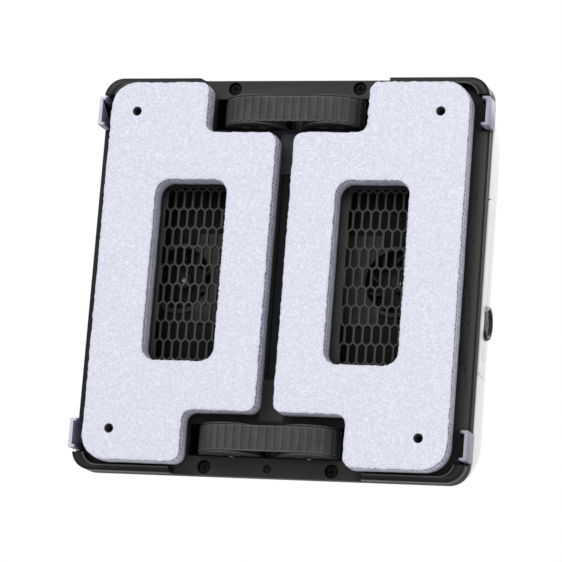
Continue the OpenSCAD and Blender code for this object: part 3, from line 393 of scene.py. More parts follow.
def colour(name, text, *tone):
    return FloatVectorProperty(name=name, description=text, subtype="COLOR", size=3, default=srgb(*tone))


class RobotSizes(bpy.types.PropertyGroup):
    """Sizes of the pieces that the script forms itself, as in the part's source."""

    cloth_crown: length("Cloth crown", "Rise of a pad's face between its seams", 0.00035)
    cloth_fill: FloatProperty(name="Cloth fill", description="How tight a pad is stuffed", default=0.9,
                              min=0.0, max=1.0, subtype="FACTOR")
    fleece: length("Fleece", "Unevenness of the cloth's face", 0.00016)
    rib_height: length("Rib height", "Height of a belt's ribs", 0.0009)
    ribs: IntProperty(name="Ribs", description="Ribs round a belt", default=44, min=20, max=80)
    edge: length("Edge", "Rounding of moulded edges", 0.0004)
    floor_drop: length("Floor drop", "How far the floor lies below the robot's middle", 0.6)


class RobotColours(bpy.types.PropertyGroup):
    """Main colours of the robot's finishes."""

    cloth: colour("Cloth", "Face of the pads", 234, 236, 251)
    base: colour("Under-plate", "Black moulding", 58, 58, 58)
    rubber: colour("Belt", "Ribbed belts", 80, 80, 80)
    grille: colour("Honeycomb", "Guards in the windows", 62, 63, 59)
    shell: colour("Shell", "White housing", 228, 229, 228)
    tab: colour("Tabs", "Edge tabs", 122, 121, 137)


def sizes():
    return bpy.context.scene.robot_sizes


def colours():
    c = bpy.context.scene.robot_colours
    return {name: tuple(getattr(c, name)) for name in ("cloth", "base", "rubber", "grille", "shell", "tab")}


WINDOW = {"x": 55.95, "a": 22.35, "b": 54.7, "r": 8.5}
PAD = {"in": 5.4, "out": 111.0, "top": 114.8, "notch_x": 49.8, "notch_z": 84.0, "round": 15.0,
       "notch_round": 6.0, "depth": 13.5, "edge": 1.5, "step": 1.3, "screw_x": 94.0, "screw_z": 96.5,
       "screw_r": 2.5}
FLEECE = ((7.0, 0.6), (2.7, 0.5), (26.0, 0.8))


def pad_corners(d):
    """The C outline's eight corners with their arc radii, drawn in by d."""
    low, out, high = PAD["in"] + d, PAD["out"] - d, PAD["top"] - d
    nx, nz = PAD["notch_x"] + d, PAD["notch_z"] - d
    big, small, hollow = PAD["round"] - d, PAD["notch_round"] - d, PAD["notch_round"] + d
    return [((out, -high), big), ((out, high), big), ((nx, high), small), ((nx, nz), hollow),
            ((low, nz), small), ((low, -nz), small), ((nx, -nz), hollow), ((nx, -high), small)]


def pad_outline(d, arc_steps=12):
    """Arcs at the corners and straight runs between; the same count of points for every d."""
    corner = pad_corners(d)
    base = pad_corners(0.0)
    turn = np.linspace(0.0, math.pi / 2, arc_steps + 1)[:, None]
    arcs, counts = [], []
    for k, (point, r) in enumerate(corner):
        here = np.array(point)
        back = np.array(corner[k - 1][0]) - here
        on = np.array(corner[(k + 1) % 8][0]) - here
        u, v = back / np.linalg.norm(back), on / np.linalg.norm(on)
        arcs.append(here + (u + v) * r - r * (v * np.cos(turn) + u * np.sin(turn)))
        run = np.linalg.norm(np.array(base[(k + 1) % 8][0]) - np.array(base[k][0]))
        counts.append(max(2, int(run / PAD["step"])))
    line = []
    for k in range(8):
        a, b = arcs[k][-1], arcs[(k + 1) % 8][0]
        t = (np.arange(1, counts[k]) / counts[k])[:, None]
        line += [arcs[k], a + (b - a) * t]
    return np.concatenate(line)


def window_hit(points, d):
    """Where a ray from the window's middle to each point meets the window's outline, drawn out by d."""
    a, b, r = WINDOW["a"] + d, WINDOW["b"] + d, WINDOW["r"] + d
    q = points - np.array([WINDOW["x"], 0.0])
    e = np.abs(q) / np.linalg.norm(q, axis=1)[:, None]
    t = np.minimum(a / np.maximum(e[:, 0], 1e-6), b / np.maximum(e[:, 1], 1e-6))
    c = np.array([a - r, b - r])
    k = e @ c
    bend = (e[:, 0] * t > c[0]) & (e[:, 1] * t > c[1])
    arc = k + np.sqrt(np.maximum(k * k - c @ c + r * r, 0.0))
    return np.array([WINDOW["x"], 0.0]) + np.sign(q) * e * np.where(bend, arc, t)[:, None]


def pad_rings():
    """Sections from the back of the outer wall, over the edge and the face, to the back of the window wall.

    Each entry: how far the line is drawn in, its share of the way to the window, and its depth. The edges
    are quarter circles, the wall bellies out by a sine, and the face falls off to both edges by a fourth
    power."""
    edge, depth = PAD["edge"], PAD["depth"]
    crown = sizes().cloth_crown / MM
    rows = []
    for y in np.linspace(depth, crown + edge, 15):
        belly = 0.35 * math.sin(math.pi * (depth - y) / (depth - edge))
        rows.append((-belly, 0.0, y))
    for angle in np.linspace(0.0, math.pi / 2, 7)[1:]:
        rows.append((edge * (1 - math.cos(angle)), 0.0, crown + edge * (1 - math.sin(angle))))
    out = list(rows)
    for share in np.linspace(0.0, 1.0, 44)[1:-1]:
        out.append((edge, share, crown * (2 * share - 1) ** 4))
    return out + [(d, 1.0, y) for d, _, y in rows[::-1]]


def pad_surface(side):
    """The cloth cover as a closed ring surface: around the C, and across from outer wall to window wall.

    Each line is a straight mix of the C's outline and the window's. Noise of three sizes lifts the face,
    and the walls ripple along their edge by a noise under a bell curve of the depth."""
    entries = pad_rings()
    base = pad_outline(0.0)
    run = np.concatenate([[0.0], np.cumsum(np.linalg.norm(np.diff(base, axis=0), axis=1))])
    points, across = [], [0.0]
    for d, share, y in entries:
        line = pad_outline(d) * (1 - share) + window_hit(base, d) * share
        points.append(np.stack([line[:, 0], np.full(len(line), y), line[:, 1]], 1))
    grid = np.stack(points)
    for k in range(1, len(entries)):
        across.append(across[-1] + float(np.median(np.linalg.norm(grid[k] - grid[k - 1], axis=1))))
    x, y, z = grid[..., 0], grid[..., 1], grid[..., 2]
    face = np.clip((1.6 - y) / 1.2, 0.0, 1.0)
    amount = sizes().fleece / MM
    seed = 11 if side > 0 else 23
    lift = sum(share * value_noise(x, z, size, seed + k) for k, (size, share) in enumerate(FLEECE))
    grid[..., 1] = y - face * amount * (lift - 1.0) * 0.6
    ripple = value_noise(run[None, :] + 0 * y, 0.4 * y, 2.0, seed + 3)
    bunch = value_noise(run[None, :] + 0 * y, 2 * y, 8.0, seed + 4)
    edge = np.exp(-((y - 2.2) / 2.6) ** 2)
    stitch = np.clip((y - 0.2) / 1.2, 0.0, 1.0) * (0.42 * edge * ripple + 0.12 * bunch)
    tangent = np.roll(base, -1, axis=0) - np.roll(base, 1, axis=0)
    tangent /= np.linalg.norm(tangent, axis=1)[:, None]
    normal = np.stack([tangent[:, 1], -tangent[:, 0]], 1)
    sign = np.where(np.array([e[1] for e in entries]) > 0.5, -1.0, 1.0)[:, None]
    grid[..., 0] = x + normal[None, :, 0] * stitch * sign
    grid[..., 2] = z + normal[None, :, 1] * stitch * sign
    grid[..., 0] *= side
    return grid, run, np.array(across)


def cloth_finish():
    """Plush face with curls and cool patches, soft grey wall with a row of stitches, painted shade
    darkening the wall toward its back, and painted near-black shade round the screw holes.
    """
    c = colours()
    f = Finish("pad cloth", c["cloth"], 0.9)
    x, depth, z = (f.along(a) for a in "XYZ")
    u = f.sewn()
    loops = f.noise(0.8, 4.0, 0.65)
    tufts = f.noise(2.6, 3.0, 0.65)
    patches = f.noise(19.0, 3.0)
    curls = f.cells(1.15)
    fleece = f.blend((tufts * 2.4 - 0.7).clamp(), shade(c["cloth"], 0.8), shade(c["cloth"], 0.97))
    fleece = f.blend((patches * 2.4 - 0.9).clamp() * 0.6, fleece, srgb(222, 224, 241))
    fleece = f.blend((loops * 4.2 - 2.2).clamp() * 0.65, fleece, srgb(184, 187, 208))
    fleece = f.blend((curls * 2.8 - 1.35).clamp() * 0.55, fleece, srgb(247, 248, 255))
    mottle = f.noise(3.6, 4.0, 0.65)
    fuzz = f.noise(1.0, 3.0, 0.6)
    side = f.blend((mottle * 1.7 + fuzz * 0.9 - 0.8).clamp(), srgb(140, 143, 162), srgb(220, 221, 236))
    stitch = ((u * 2.3 + (mottle - 0.5) * 5.0).sine() * 0.5 + 0.5 + (fuzz - 0.5) * 0.8).above(0.3, 0.35)
    waver = (mottle - 0.5) * 1.6
    row = (depth - 6.4 - waver).near(1.0)
    side = f.blend((row * 1.7).clamp() * (stitch * 0.6 + 0.3), side, srgb(76, 78, 102))
    # painted shade: the wall darkens toward its back, where it meets the under-plate
    side = f.blend(depth.above(7.5, 5.0) * 0.85, side, srgb(64, 65, 84))
    wall = (depth + (fuzz - 0.5) * 1.2).above(1.1, 0.4)
    body = f.blend(wall, fleece, side)
    line = (depth - 2.3 - waver * 0.4).near(1.1)
    body = f.blend((line * 1.8).clamp() * (stitch * 0.55 + 0.2), body, srgb(70, 71, 96))
    across, up = abs(x) - PAD["screw_x"], abs(z) - PAD["screw_z"]
    # painted shade: the cloth round each screw hole is painted near black, as the shadow in the hole
    hole = (across * across + up * up).below(7.3, 1.6)
    f.paint(f.blend(hole, body, srgb(10, 10, 20)))
    f.rough(0.88 + loops * 0.1)
    f.level("Sheen Weight", 0.2)
    f.level("Sheen Roughness", 0.5)
    height = (1.0 - wall) * (loops * 0.6 + curls * 0.5 + tufts * 0.7) + wall * (fuzz * 0.5 + mottle * 0.7)
    f.bump(height - (line * wall * stitch) * 0.6, 0.6, 0.9)
    return f.material


class ROBOT_OT_pads(bpy.types.Operator):
    """Makes the two cloth pads with their fleece face, sewn wall and screw holes"""

    bl_idname = "robot.pads"
    bl_label = "Cloth pads"

    def execute(self, context):
        cloth = cloth_finish()
        for name, side in SIDES.items():
            grid, run, across = pad_surface(side)
            rows, columns = grid.shape[:2]
            faces = grid_faces(rows, columns, wrap_rows=True, flip=side < 0)
            made = mesh_object("pad_cloth_" + name, grid.reshape(-1, 3), faces, 60.0)
            total = float(run[-1]) + PAD["step"]
            place = np.stack(np.broadcast_arrays(run[None, :], across[:, None]), 2).reshape(-1, 2)
            corner = np.zeros(len(made.data.loops), int)
            made.data.loops.foreach_get("vertex_index", corner)
            uv = place[corner]
            first = np.repeat(np.arange(len(faces)), 4)
            wraps = (uv[:, 0].reshape(-1, 4).max(1) - uv[:, 0].reshape(-1, 4).min(1) > total / 2)[first]
            uv[:, 0] += np.where(wraps & (uv[:, 0] < total / 2), total, 0.0)
            layer = made.data.uv_layers.new(name="sewn")
            layer.data.foreach_set("uv", uv.ravel())
            outward(made)
            cut(made, [prism("hole", circle(PAD["screw_r"], 40, (side * PAD["screw_x"], z)), -2.0, 9.0, 1)
                       for z in (-PAD["screw_z"], PAD["screw_z"])])
            smooth(made, 60.0)
            settle(made, "pad_" + name, "cloth", cloth, "pad_" + name, "foam_" + name)
        return {"FINISHED"}


BELT = {"half_run": 24.0, "y": 22.5, "r": 20.0, "z": 99.0, "half_width": 7.5}


def loop_frame(s):
    """Place and outward direction at distance s along the belt's stadium loop, front run first."""
    half, arc = BELT["half_run"], math.pi * BELT["r"]
    stops = np.cumsum([0.0, 2 * half, arc, 2 * half, arc])
    turn = np.interp(s, stops, np.array([0.0, 0.0, 1.0, 1.0, 2.0]) * math.pi)
    return np.interp(s, stops, [-half, half, half, -half, -half]), np.sin(turn), -np.cos(turn)


def belt_surface(end):
    """A closed rounded section carried along the loop; its outer side steps up at every rib."""
    count = sizes().ribs
    height = sizes().rib_height / MM
    loop = 4 * BELT["half_run"] + 2 * math.pi * BELT["r"]
    steps = count * 20
    s = np.arange(steps) * loop / steps
    phase = np.abs(np.mod(s / loop * count + 0.5, 1.0) - 0.5) * 2
    rib = np.clip((0.62 - phase) / 0.14, 0.0, 1.0)
    rib = rib * rib * (3 - 2 * rib)
    w, outer = BELT["half_width"], BELT["r"]
    half = [(0.0, 0.0, 1.0), (w - 1.1, 0.0, 1.0), (w - 0.5, 0.0, 1.0), (w - 0.12, 0.35, 0.7),
            (w, 0.75, 0.3), (w, 1.3, 0.0), (w, 2.0, 0.0), (w - 0.3, 2.2, 0.0), (0.0, 2.2, 0.0)]
    section = half + [(-z, depth, share) for z, depth, share in half[-2:0:-1]]
    cx, nx, ny = loop_frame(s)
    rows = []
    for z, depth, share in section:
        radius = outer - depth - (1 - rib) * height * share
        z = np.full(steps, end * (BELT["z"] + z))
        rows.append(np.stack([cx + nx * radius, BELT["y"] + ny * radius, z], 1))
    return np.stack(rows, 1)


def belt_finish():
    """Dull ribbed rubber with dusty patches that are also rougher, a painted highlight along both edges and
    painted shade toward the back of the loop.
    """
    c = colours()
    f = Finish("belt rubber", c["rubber"], 0.62)
    dust = f.noise(9.0, 4.0, 0.6)
    grain = f.noise(0.6, 2.0)
    depth = f.along("Y")
    # painted shade: darker toward the back of the loop, down in the track wells
    deep = depth.above(6.0, 18.0)
    rubber = f.blend((dust * 1.5 - 0.25).clamp(), grey(53), srgb(78, 78, 79))
    # painted highlight: lighter along both edges of the belt
    side = (abs(abs(f.along("Z")) - BELT["z"])).above(BELT["half_width"] - 0.75, 0.35)
    rubber = f.blend(side * 0.7, rubber, srgb(104, 104, 105))
    f.paint(f.blend(deep, rubber, grey(24)))
    f.rough(0.52 + dust * 0.18)
    f.level("Specular IOR Level", 0.25)
    f.bump(grain, 0.05)
    return f.material


class ROBOT_OT_belts(bpy.types.Operator):
    """Makes the two ribbed belts round their wheels"""

    bl_idname = "robot.belts"
    bl_label = "Ribbed belts"

    def execute(self, context):
        rubber = belt_finish()
        for name, end in ENDS.items():
            grid = belt_surface(end)
            rows, columns = grid.shape[:2]
            made = mesh_object("belt_" + name, grid.reshape(-1, 3),
                               grid_faces(rows, columns, wrap_rows=True), 50.0)
            outward(made)
            settle(made, ROOT, "belt", rubber, "track_belt_" + name)
        return {"FINISHED"}


SHELL = {"front": 24.6, "back": 86.0, "wall": 2.5, "round": 22.0, "dome": 4.0, "half_x": 120.8,
         "widest": 28.0, "curve": 240.0, "half_z": 119.6, "slope": 0.17, "corner": 12.0,
         "back_corner": 24.0, "lip": 0.35, "lip_share": 0.14}


def side_reach(y):
    """Half width of the shell at depth y: a parabola with its top at the widest place."""
    return SHELL["half_x"] - (y - SHELL["widest"]) ** 2 / SHELL["curve"]


def end_reach(y):
    """Half height of the shell at depth y: a straight taper."""
    return SHELL["half_z"] - SHELL["slope"] * (y - SHELL["front"])


def shell_ring(a, b, r, y, runs=22, arc_steps=16):
    """Rounded rectangle of half sizes a and b and corner radius r, as one ring of points at depth y."""
    arcs = rounded_rectangle(a, b, r, arc_steps).reshape(4, -1, 2)
    line = []
    for k in range(4):
        p, q = arcs[k][-1], arcs[(k + 1) % 4][0]
        t = (np.arange(1, runs) / runs)[:, None]
        line += [arcs[k], p + (q - p) * t]
    flat = np.concatenate(line)
    return np.stack([flat[:, 0], np.full(len(flat), y), flat[:, 1]], 1)


def shell_rings(t):
    """Rings of the shell's form drawn in by t: tapering wall, quarter-round back edge, parabola dome."""
    edge = SHELL["back"] - SHELL["dome"] - SHELL["round"]
    r0, r1, front = SHELL["corner"], SHELL["back_corner"], SHELL["front"]
    rings = []
    for y in np.linspace(front, edge, 16)[:-1]:
        share = (y - front) / (edge - front)
        rings.append(shell_ring(side_reach(y) - t, end_reach(y) - t, r0 + (r1 - r0) * share - t, y))
    for angle in np.radians(np.linspace(0.0, 84.0, 22)):
        y = edge + (SHELL["round"] - t) * math.sin(angle)
        drawn = SHELL["round"] * (1 - math.cos(angle)) + t * math.cos(angle)
        rings.append(shell_ring(side_reach(y) - drawn, end_reach(y) - drawn, r1 - t, y))
    a, b, y0 = side_reach(y) - drawn, end_reach(y) - drawn, y
    for share in np.linspace(1.0, 0.02, 14)[1:]:
        y = y0 + (SHELL["back"] - t - y0) * (1 - share * share)
        rings.append(shell_ring(a * share, b * share, (r1 - t) * share, y))
    return np.stack(rings)


def shell_solid(name):
    """Outer and inner skins joined by a lip at the seam, each closed at its pole."""
    outer, inner = shell_rings(0.0), shell_rings(SHELL["wall"])
    lip = outer[:1].copy()
    lip[..., 1] += SHELL["lip"]
    drawn = outer[:1] - (outer[:1] - inner[:1]) * SHELL["lip_share"]
    outer = np.concatenate([drawn, lip, outer[1:]])
    rows, n = len(outer), outer.shape[1]
    points = np.concatenate([outer.reshape(-1, 3), inner.reshape(-1, 3),
                             outer[-1].mean(0)[None], inner[-1].mean(0)[None]])
    start = rows * n
    faces = grid_faces(rows, n) + grid_faces(len(inner), n, flip=True, start=start)
    ring = np.arange(n)
    after = np.roll(ring, -1)
    faces += [[i, start + i, start + j, j] for i, j in zip(ring, after)]
    pole = len(points) - 2
    last, last_in = (rows - 1) * n, start + (len(inner) - 1) * n
    faces += [[last + i, last + j, pole] for i, j in zip(ring, after)]
    faces += [[last_in + j, last_in + i, pole + 1] for i, j in zip(ring, after)]
    made = mesh_object(name, points, faces, 40.0)
    outward(made)
    return made


PANEL = {"low": -54.0, "high": 50.0, "back": 42.0, "r": 3.0, "gap": 0.4, "seam": 36.0,
         "nozzle_y": 36.2, "nozzle_z": -22.0, "nozzle_r": 10.2, "nozzle_flat": 31.0}
SHEET = {"y": (18.0, 50.0), "z": (-60.0, 56.0)}
DIP = {"half": (3.2, 5.5, 8.0), "centre": (122.9, 33.5, -41.5)}
SLOT = {"count": 6, "x": 67.0, "pitch": 6.5, "half_w": 1.5, "half_h": 18.0, "r": 1.49}
BUTTON_R = 9.5
LENS = {"r": 2.55, "z": -20.0}
SOCKET = {"r": 6.15, "x": -34.0, "z": 66.0}
SCREWS = {"x": 39.0, "z": 115.0}
GUARD_CORNERS = ((104.0, 107.3, 9.0), (108.0, 108.0, 12.0))
EYE = {"half_w": 2.65, "half_h": 8.15, "r": 0.6}
THROUGH_BACK = (60.0, 92.0, 1)
THROUGH_SIDE = (100.0, 135.0)


def side_prism(name, outline, side):
    """A cutter through the shell's side wall."""
    return prism(name, outline, *sorted(side * x for x in THROUGH_SIDE), 0)


def panel_prism(name, side, grow, front):
    """The side panel's rounded rectangle from depth front to its back, drawn out by grow."""
    y0, y1 = front, PANEL["back"] + grow
    z0, z1 = PANEL["low"] - grow, PANEL["high"] + grow
    outline = rounded_rectangle((y1 - y0) / 2, (z1 - z0) / 2, PANEL["r"], 8, ((y0 + y1) / 2, (z0 + z1) / 2))
    return side_prism(name, outline, side)


def nozzle_prism(name, side, r):
    """The nozzle's round seat with a flat on the side toward the glass."""
    outline = circle(r, 64, (PANEL["nozzle_y"], PANEL["nozzle_z"]))
    outline[:, 0] = np.maximum(outline[:, 0], PANEL["nozzle_flat"] - r + PANEL["nozzle_r"])
    return side_prism(name, outline, side)


def flatten_nozzle(made, side, margin):
    """Cuts a round nozzle piece off at the flat of its seat, by a box that is larger than the piece."""
    near, far = sorted(side * x for x in THROUGH_SIDE)
    front, flat = 10.0, PANEL["nozzle_flat"] + margin
    box = np.array([(near, front), (far, front), (far, flat), (near, flat)])
    cut(made, [prism("flat", box, PANEL["nozzle_z"] - 20.0, PANEL["nozzle_z"] + 20.0, 2)])
    smooth(made, 32.0)


def shell_finish():
    """Glossy white moulding with a soft orange-peel surface and faint handling haze."""
    c = colours()
    f = Finish("white shell", c["shell"], 0.3)
    haze = f.noise(46.0, 3.0, 0.55)
    peel = f.noise(3.4, 1.0)
    white = f.blend(haze, shade(c["shell"], 0.985), shade(c["shell"], 1.012))
    x, y, z = (f.along(a) for a in "XYZ")
    upper, lower = (z.above(low, 0.2) * z.below(high, 0.2) for low, high in ((-11.0, 49.4), (-53.4, -43.0)))
    seam = (y - PANEL["seam"]).near(0.45) * upper.at_least(lower) * abs(x).above(117.0, 0.3)
    f.paint(f.blend((seam * 1.6).clamp() * 0.75, white, grey(128)))
    f.rough(0.27 + haze * 0.1)
    f.bump(peel, 0.012)
    f.level("Coat Weight", 0.25)
    f.level("Coat Roughness", 0.12)
    return f.material


class ROBOT_OT_shell(bpy.types.Operator):
    """Makes the white shell with its side openings, exhaust slots and back openings"""

    bl_idname = "robot.shell"
    bl_label = "White shell"

    def execute(self, context):
        white = shell_finish()
        made = shell_solid("shell_cover")
        cutters = []
        for name, side in SIDES.items():
            cutters += [panel_prism("panel_cut", side, PANEL["gap"], SHELL["front"] - 6.0),
                        nozzle_prism("nozzle_cut", side, PANEL["nozzle_r"] + PANEL["gap"])]
            for k in range(SLOT["count"]):
                x = side * (SLOT["x"] + (k - (SLOT["count"] - 1) / 2) * SLOT["pitch"])
                slot = rounded_rectangle(SLOT["half_w"], SLOT["half_h"], SLOT["r"], 6, (x, 0.0))
                cutters.append(prism("slot", slot, *THROUGH_BACK))
        eye = rounded_rectangle(EYE["half_w"], EYE["half_h"], EYE["r"], 4, (0.0, SOCKET["z"]))
        cutters += [prism("button_cut", circle(BUTTON_R, 64), *THROUGH_BACK),
                    prism("lens_cut", circle(LENS["r"], 32, (0.0, LENS["z"])), *THROUGH_BACK),
                    prism("socket_cut", circle(SOCKET["r"], 48, (SOCKET["x"], SOCKET["z"])), *THROUGH_BACK),
                    prism("eye_cut", eye, *THROUGH_BACK)]
        cut(made, cutters)
        smooth(made, 38.0)
        settle(made, ROOT, "white_plastic", white, "shell")
        for name, side in SIDES.items():
            self.side_panel(name, side, white)
        return {"FINISHED"}

    def side_panel(self, name, side, white):
        """The shell's side wall between the seams, as a slab cut to the panel's outline."""
        y = np.linspace(*SHEET["y"], 40)
        z = np.linspace(*SHEET["z"], 60)
        yy, zz = np.meshgrid(y, z, indexing="ij")
        skins = [np.stack([side * (side_reach(yy) - t), yy, zz], 2) for t in (0.0, SHELL["wall"])]
        rows, columns = yy.shape
        count = rows * columns
        faces = grid_faces(rows, columns, wrap_columns=False)
        faces += grid_faces(rows, columns, wrap_columns=False, flip=True, start=count)
        rim = np.concatenate([np.arange(columns), np.arange(1, rows) * columns + columns - 1,
                              (rows - 1) * columns + np.arange(columns - 2, -1, -1),
                              np.arange(rows - 2, 0, -1) * columns])
        faces += [[a, a + count, b + count, b] for a, b in zip(rim, np.roll(rim, -1))]
        made = mesh_object("side_panel_" + name, np.stack(skins).reshape(-1, 3), faces, 40.0)
        outward(made)
        cut(made, [panel_prism("panel_keep", side, 0.0, SHELL["front"])], "INTERSECT")
        cut(made, [nozzle_prism("nozzle_cut", side, PANEL["nozzle_r"] + 0.05), self.scoop(side)])
        bevelled(made, 0.3, 2, 60.0)
        apply_modifiers(made)
        smooth(made, 38.0)
        settle(made, "tank_" + name, "white_plastic", white, "tank_cover_" + name)

    def scoop(self, side):
        """A long ellipsoid that leaves a shallow finger dip below the nozzle."""
        u = np.linspace(0.0, math.pi, 18)
        v = np.arange(32) * 2 * math.pi / 32
        uu, vv = np.meshgrid(u[1:-1], v, indexing="ij")
        deep, wide, tall = DIP["half"]
        ball = np.stack([deep * np.cos(uu), wide * np.sin(uu) * np.cos(vv),
                         tall * np.sin(uu) * np.sin(vv)], 2)
        centre = np.array(DIP["centre"]) * (side, 1.0, 1.0)
        n = len(v)
        points = np.concatenate([ball.reshape(-1, 3), [[deep, 0, 0]], [[-deep, 0, 0]]]) + centre
        last = (len(u) - 3) * n
        top, low = len(points) - 2, len(points) - 1
        faces = grid_faces(len(u) - 2, n) + [[i, (i + 1) % n, top] for i in range(n)]
        faces += [[last + (i + 1) % n, last + i, low] for i in range(n)]
        made = mesh_object("scoop", points, faces)
        outward(made)
        return made


def base_finish():
    """Black moulding: greyer rails and middle strip, the upper rail painted lighter as lit from above; a
    painted lit strip on the right rim, darkest by the pad; painted near-black shade behind the front face,
    in the windows, round the screw and sensor recesses and on a line across the trough near its ends.
    """
    c = colours()
    f = Finish("under-plate", c["base"], 0.42)
    x, y, z = (f.along(a) for a in "XYZ")
    ax, az = abs(x), abs(z)
    grain = f.noise(0.45, 2.0)
    cloud = f.noise(22.0, 3.0, 0.6)
    front = y.below(18.2, 0.6)
    rail = front * ax.below(57.0, 3.0) * az.above(107.5, 1.0)
    strip = front * ax.below(7.0, 0.6) * az.above(62.0, 0.5) * az.below(86.0, 1.5)
    # painted light: a lit strip on the right rim, lighter toward its outer edge and darkest by the pad
    lit_right_rim = front * x.above(110.5, 7.0) * x.below(118.6, 0.3) * az.below(88.0, 0.8)
    dark = f.blend(cloud, srgb(28, 28, 30), srgb(40, 40, 41))
    # painted light: the upper rail lighter than the lower, as lit from above
    tone = f.blend(rail, dark, f.blend(z.above(0.0, 10.0), srgb(44, 44, 43), grey(60)))
    tone = f.blend(strip, tone, srgb(70, 70, 72))
    tone = f.blend(lit_right_rim, tone, srgb(70, 71, 69))
    across, up = ax - SCREWS["x"], az - SCREWS["z"]
    down = z + SCREWS["z"]
    # painted shade: near black round the screw and sensor recesses
    painted_pit_shade = (across * across + up * up).below(16.4, 1.5).at_least((x * x + down * down).below(6.4, 1.2))
    # painted shade: near black in the windows and on the walls behind the front face
    window = 1.0 - abs(ax - WINDOW["x"]).above(21.0, 0.6).at_least(az.above(53.0, 0.6))
    painted_shade_inside = y.above(18.4, 0.6).at_least(window)
    tone = f.blend(painted_shade_inside.at_least(painted_pit_shade), tone, grey(14))
    trough = ax.below(7.4, 0.4) * az.below(62.2, 0.1) * y.below(22.0, 0.5)
    # painted shade: a dark line across the trough near its ends
    crease_shade = (az - 59.2).near(0.6)
    f.paint(f.blend(trough, tone, f.blend(crease_shade * 0.9, srgb(47, 49, 50), srgb(16, 16, 17))))
    f.rough(0.4 + cloud * 0.14)
    f.level("Specular IOR Level", 0.12)
    f.bump(grain, 0.03)
    return f.material


def honeycomb_finish():
    """Olive-grey ribs, with painted shade darkening them toward the top and where they lie deeper than the
    front face.
    """
    c = colours()
    f = Finish("honeycomb", c["grille"], 0.55)
    y, z = f.along("Y"), f.along("Z")
    cloud = f.noise(12.0, 3.0)
    grain = f.noise(0.5, 2.0)
    rib = f.blend(cloud, shade(c["grille"], 0.8), shade(c["grille"], 1.2))
    # painted shade: darker toward the top and deeper than the front face
    comb_painted_shade = (z.above(43.0, 8.0) * 0.85).at_least(y.above(18.2, 0.8) * 0.9)
    f.paint(f.blend(comb_painted_shade, rib, srgb(26, 27, 25)))
    f.rough(0.5 + cloud * 0.12)
    f.bump(grain, 0.03)
    f.level("Specular IOR Level", 0.25)
    return f.material


def guard_finish():
    """Satin black corner guards: a painted highlight along the middle, stronger toward the top, and a
    painted highlight on the lip beside the pad.
    """
    f = Finish("guard", srgb(30, 30, 31), 0.35)
    x, y, z = (f.along(a) for a in "XYZ")
    cloud = f.noise(14.0, 3.0)
    grain = f.noise(0.4, 2.0)
    inner, outer = (((abs(x) - cx).at_least(0.0) ** 2.0 + (abs(z) - cz).at_least(0.0) ** 2.0) ** 0.5 - r
                    for cx, cz, r in GUARD_CORNERS)
    front = y.below(10.9, 0.3)
    # painted highlight: a light line on the lip beside the pad
    lip = front * (inner - 0.5).near(0.6)
    # painted highlight: a soft light strip along the guard's middle, stronger toward the top
    painted_sheen = front * (outer + 2.6).near(1.6)
    tone = f.blend(cloud, srgb(12, 12, 13), srgb(22, 22, 23))
    tone = f.blend(painted_sheen * (0.25 + z.above(-20.0, 40.0) * 0.35), tone, srgb(72, 73, 73))
    f.paint(f.blend(lip * 0.7, tone, srgb(118, 119, 124)))
    f.rough(0.32 + cloud * 0.1)
    f.bump(grain, 0.02)
    f.level("Specular IOR Level", 0.16)
    return f.material


class ROBOT_OT_under_plate(bpy.types.Operator):
    """Rounds the edges of the under-plate, its corner guards, honeycomb guards, inlet rings and fan cases,
    and colours its wells, bosses and seal
    """

    bl_idname = "robot.under_plate"
    bl_label = "Under-plate"

    def execute(self, context):
        edge = sizes().edge / MM
        refined("chassis", "under_plate", base_finish(), edge)
        refined("corner_guards", "guards", guard_finish(), 0.5, 3)
        well = moulded("well black", grey(16), 0.6, gloss=0.2)
        coat("track_wells", well)
        coat("inner_bosses", well)
        comb = honeycomb_finish()
        ring = moulded("inlet ring", grey(60), 0.5, 0.5, 0.03, 0.1, gloss=0.25)
        drum = moulded("fan housing", grey(12), 0.6, gloss=0.2)
        for name in SIDES:
            refined("grille_" + name, "honeycomb_" + name, comb, 0.25, 2, 50.0)
            refined("inlet_plate_" + name, "inlet_ring_" + name, ring, 0.25, 2, 50.0)
            refined("fan_housing_" + name, "fan_case_" + name, drum, 0.3, 2, 50.0)
        coat("shell_seal", moulded("seam seal", grey(18), 0.7))
        return {"FINISHED"}


class ROBOT_OT_running_gear(bpy.types.Operator):
    """Finishes the wheels, sprockets, axles, motors and the pads' drive"""

    bl_idname = "robot.running_gear"
    bl_label = "Running gear"

    def execute(self, context):
        rim = moulded("wheel", srgb(60, 60, 61), 0.42, 0.4, 0.02, 0.08, gloss=0.3)
        steel = metal("turned steel", (0.56, 0.56, 0.58), 0.28)
        can = metal("motor can", (0.42, 0.43, 0.45), 0.36)
        for end in ENDS:
            for side in SIDES:
                refined(f"wheel_{end}_{side}", f"road_wheel_{end}_{side}", rim, 0.3)
            refined("sprocket_" + end, "drive_sprocket_" + end, rim, 0.2)
            refined("track_motor_" + end, "travel_motor_" + end, can, 0.6, 3)
        refined("wheel_axles", "axles", steel, 0.2)
        refined("eccentric", "eccentric_turned", steel, 0.2)
        refined("pad_drive_motor", "rub_motor", can, 0.6, 3)
        carrier = moulded("carrier", srgb(40, 40, 41), 0.55, gloss=0.3)
        blade = moulded("impeller", srgb(30, 30, 31), 0.5, gloss=0.25)
        dark_steel = metal("blackened shafts", (0.014, 0.014, 0.024), 0.55)
        for name in SIDES:
            coat("carrier_" + name, carrier)
            coat("impeller_" + name, blade)
            coat("fan_motor_" + name, can)
        refined("carrier_screws", "shoulder_screws", dark_steel, 0.2)
        return {"FINISHED"}


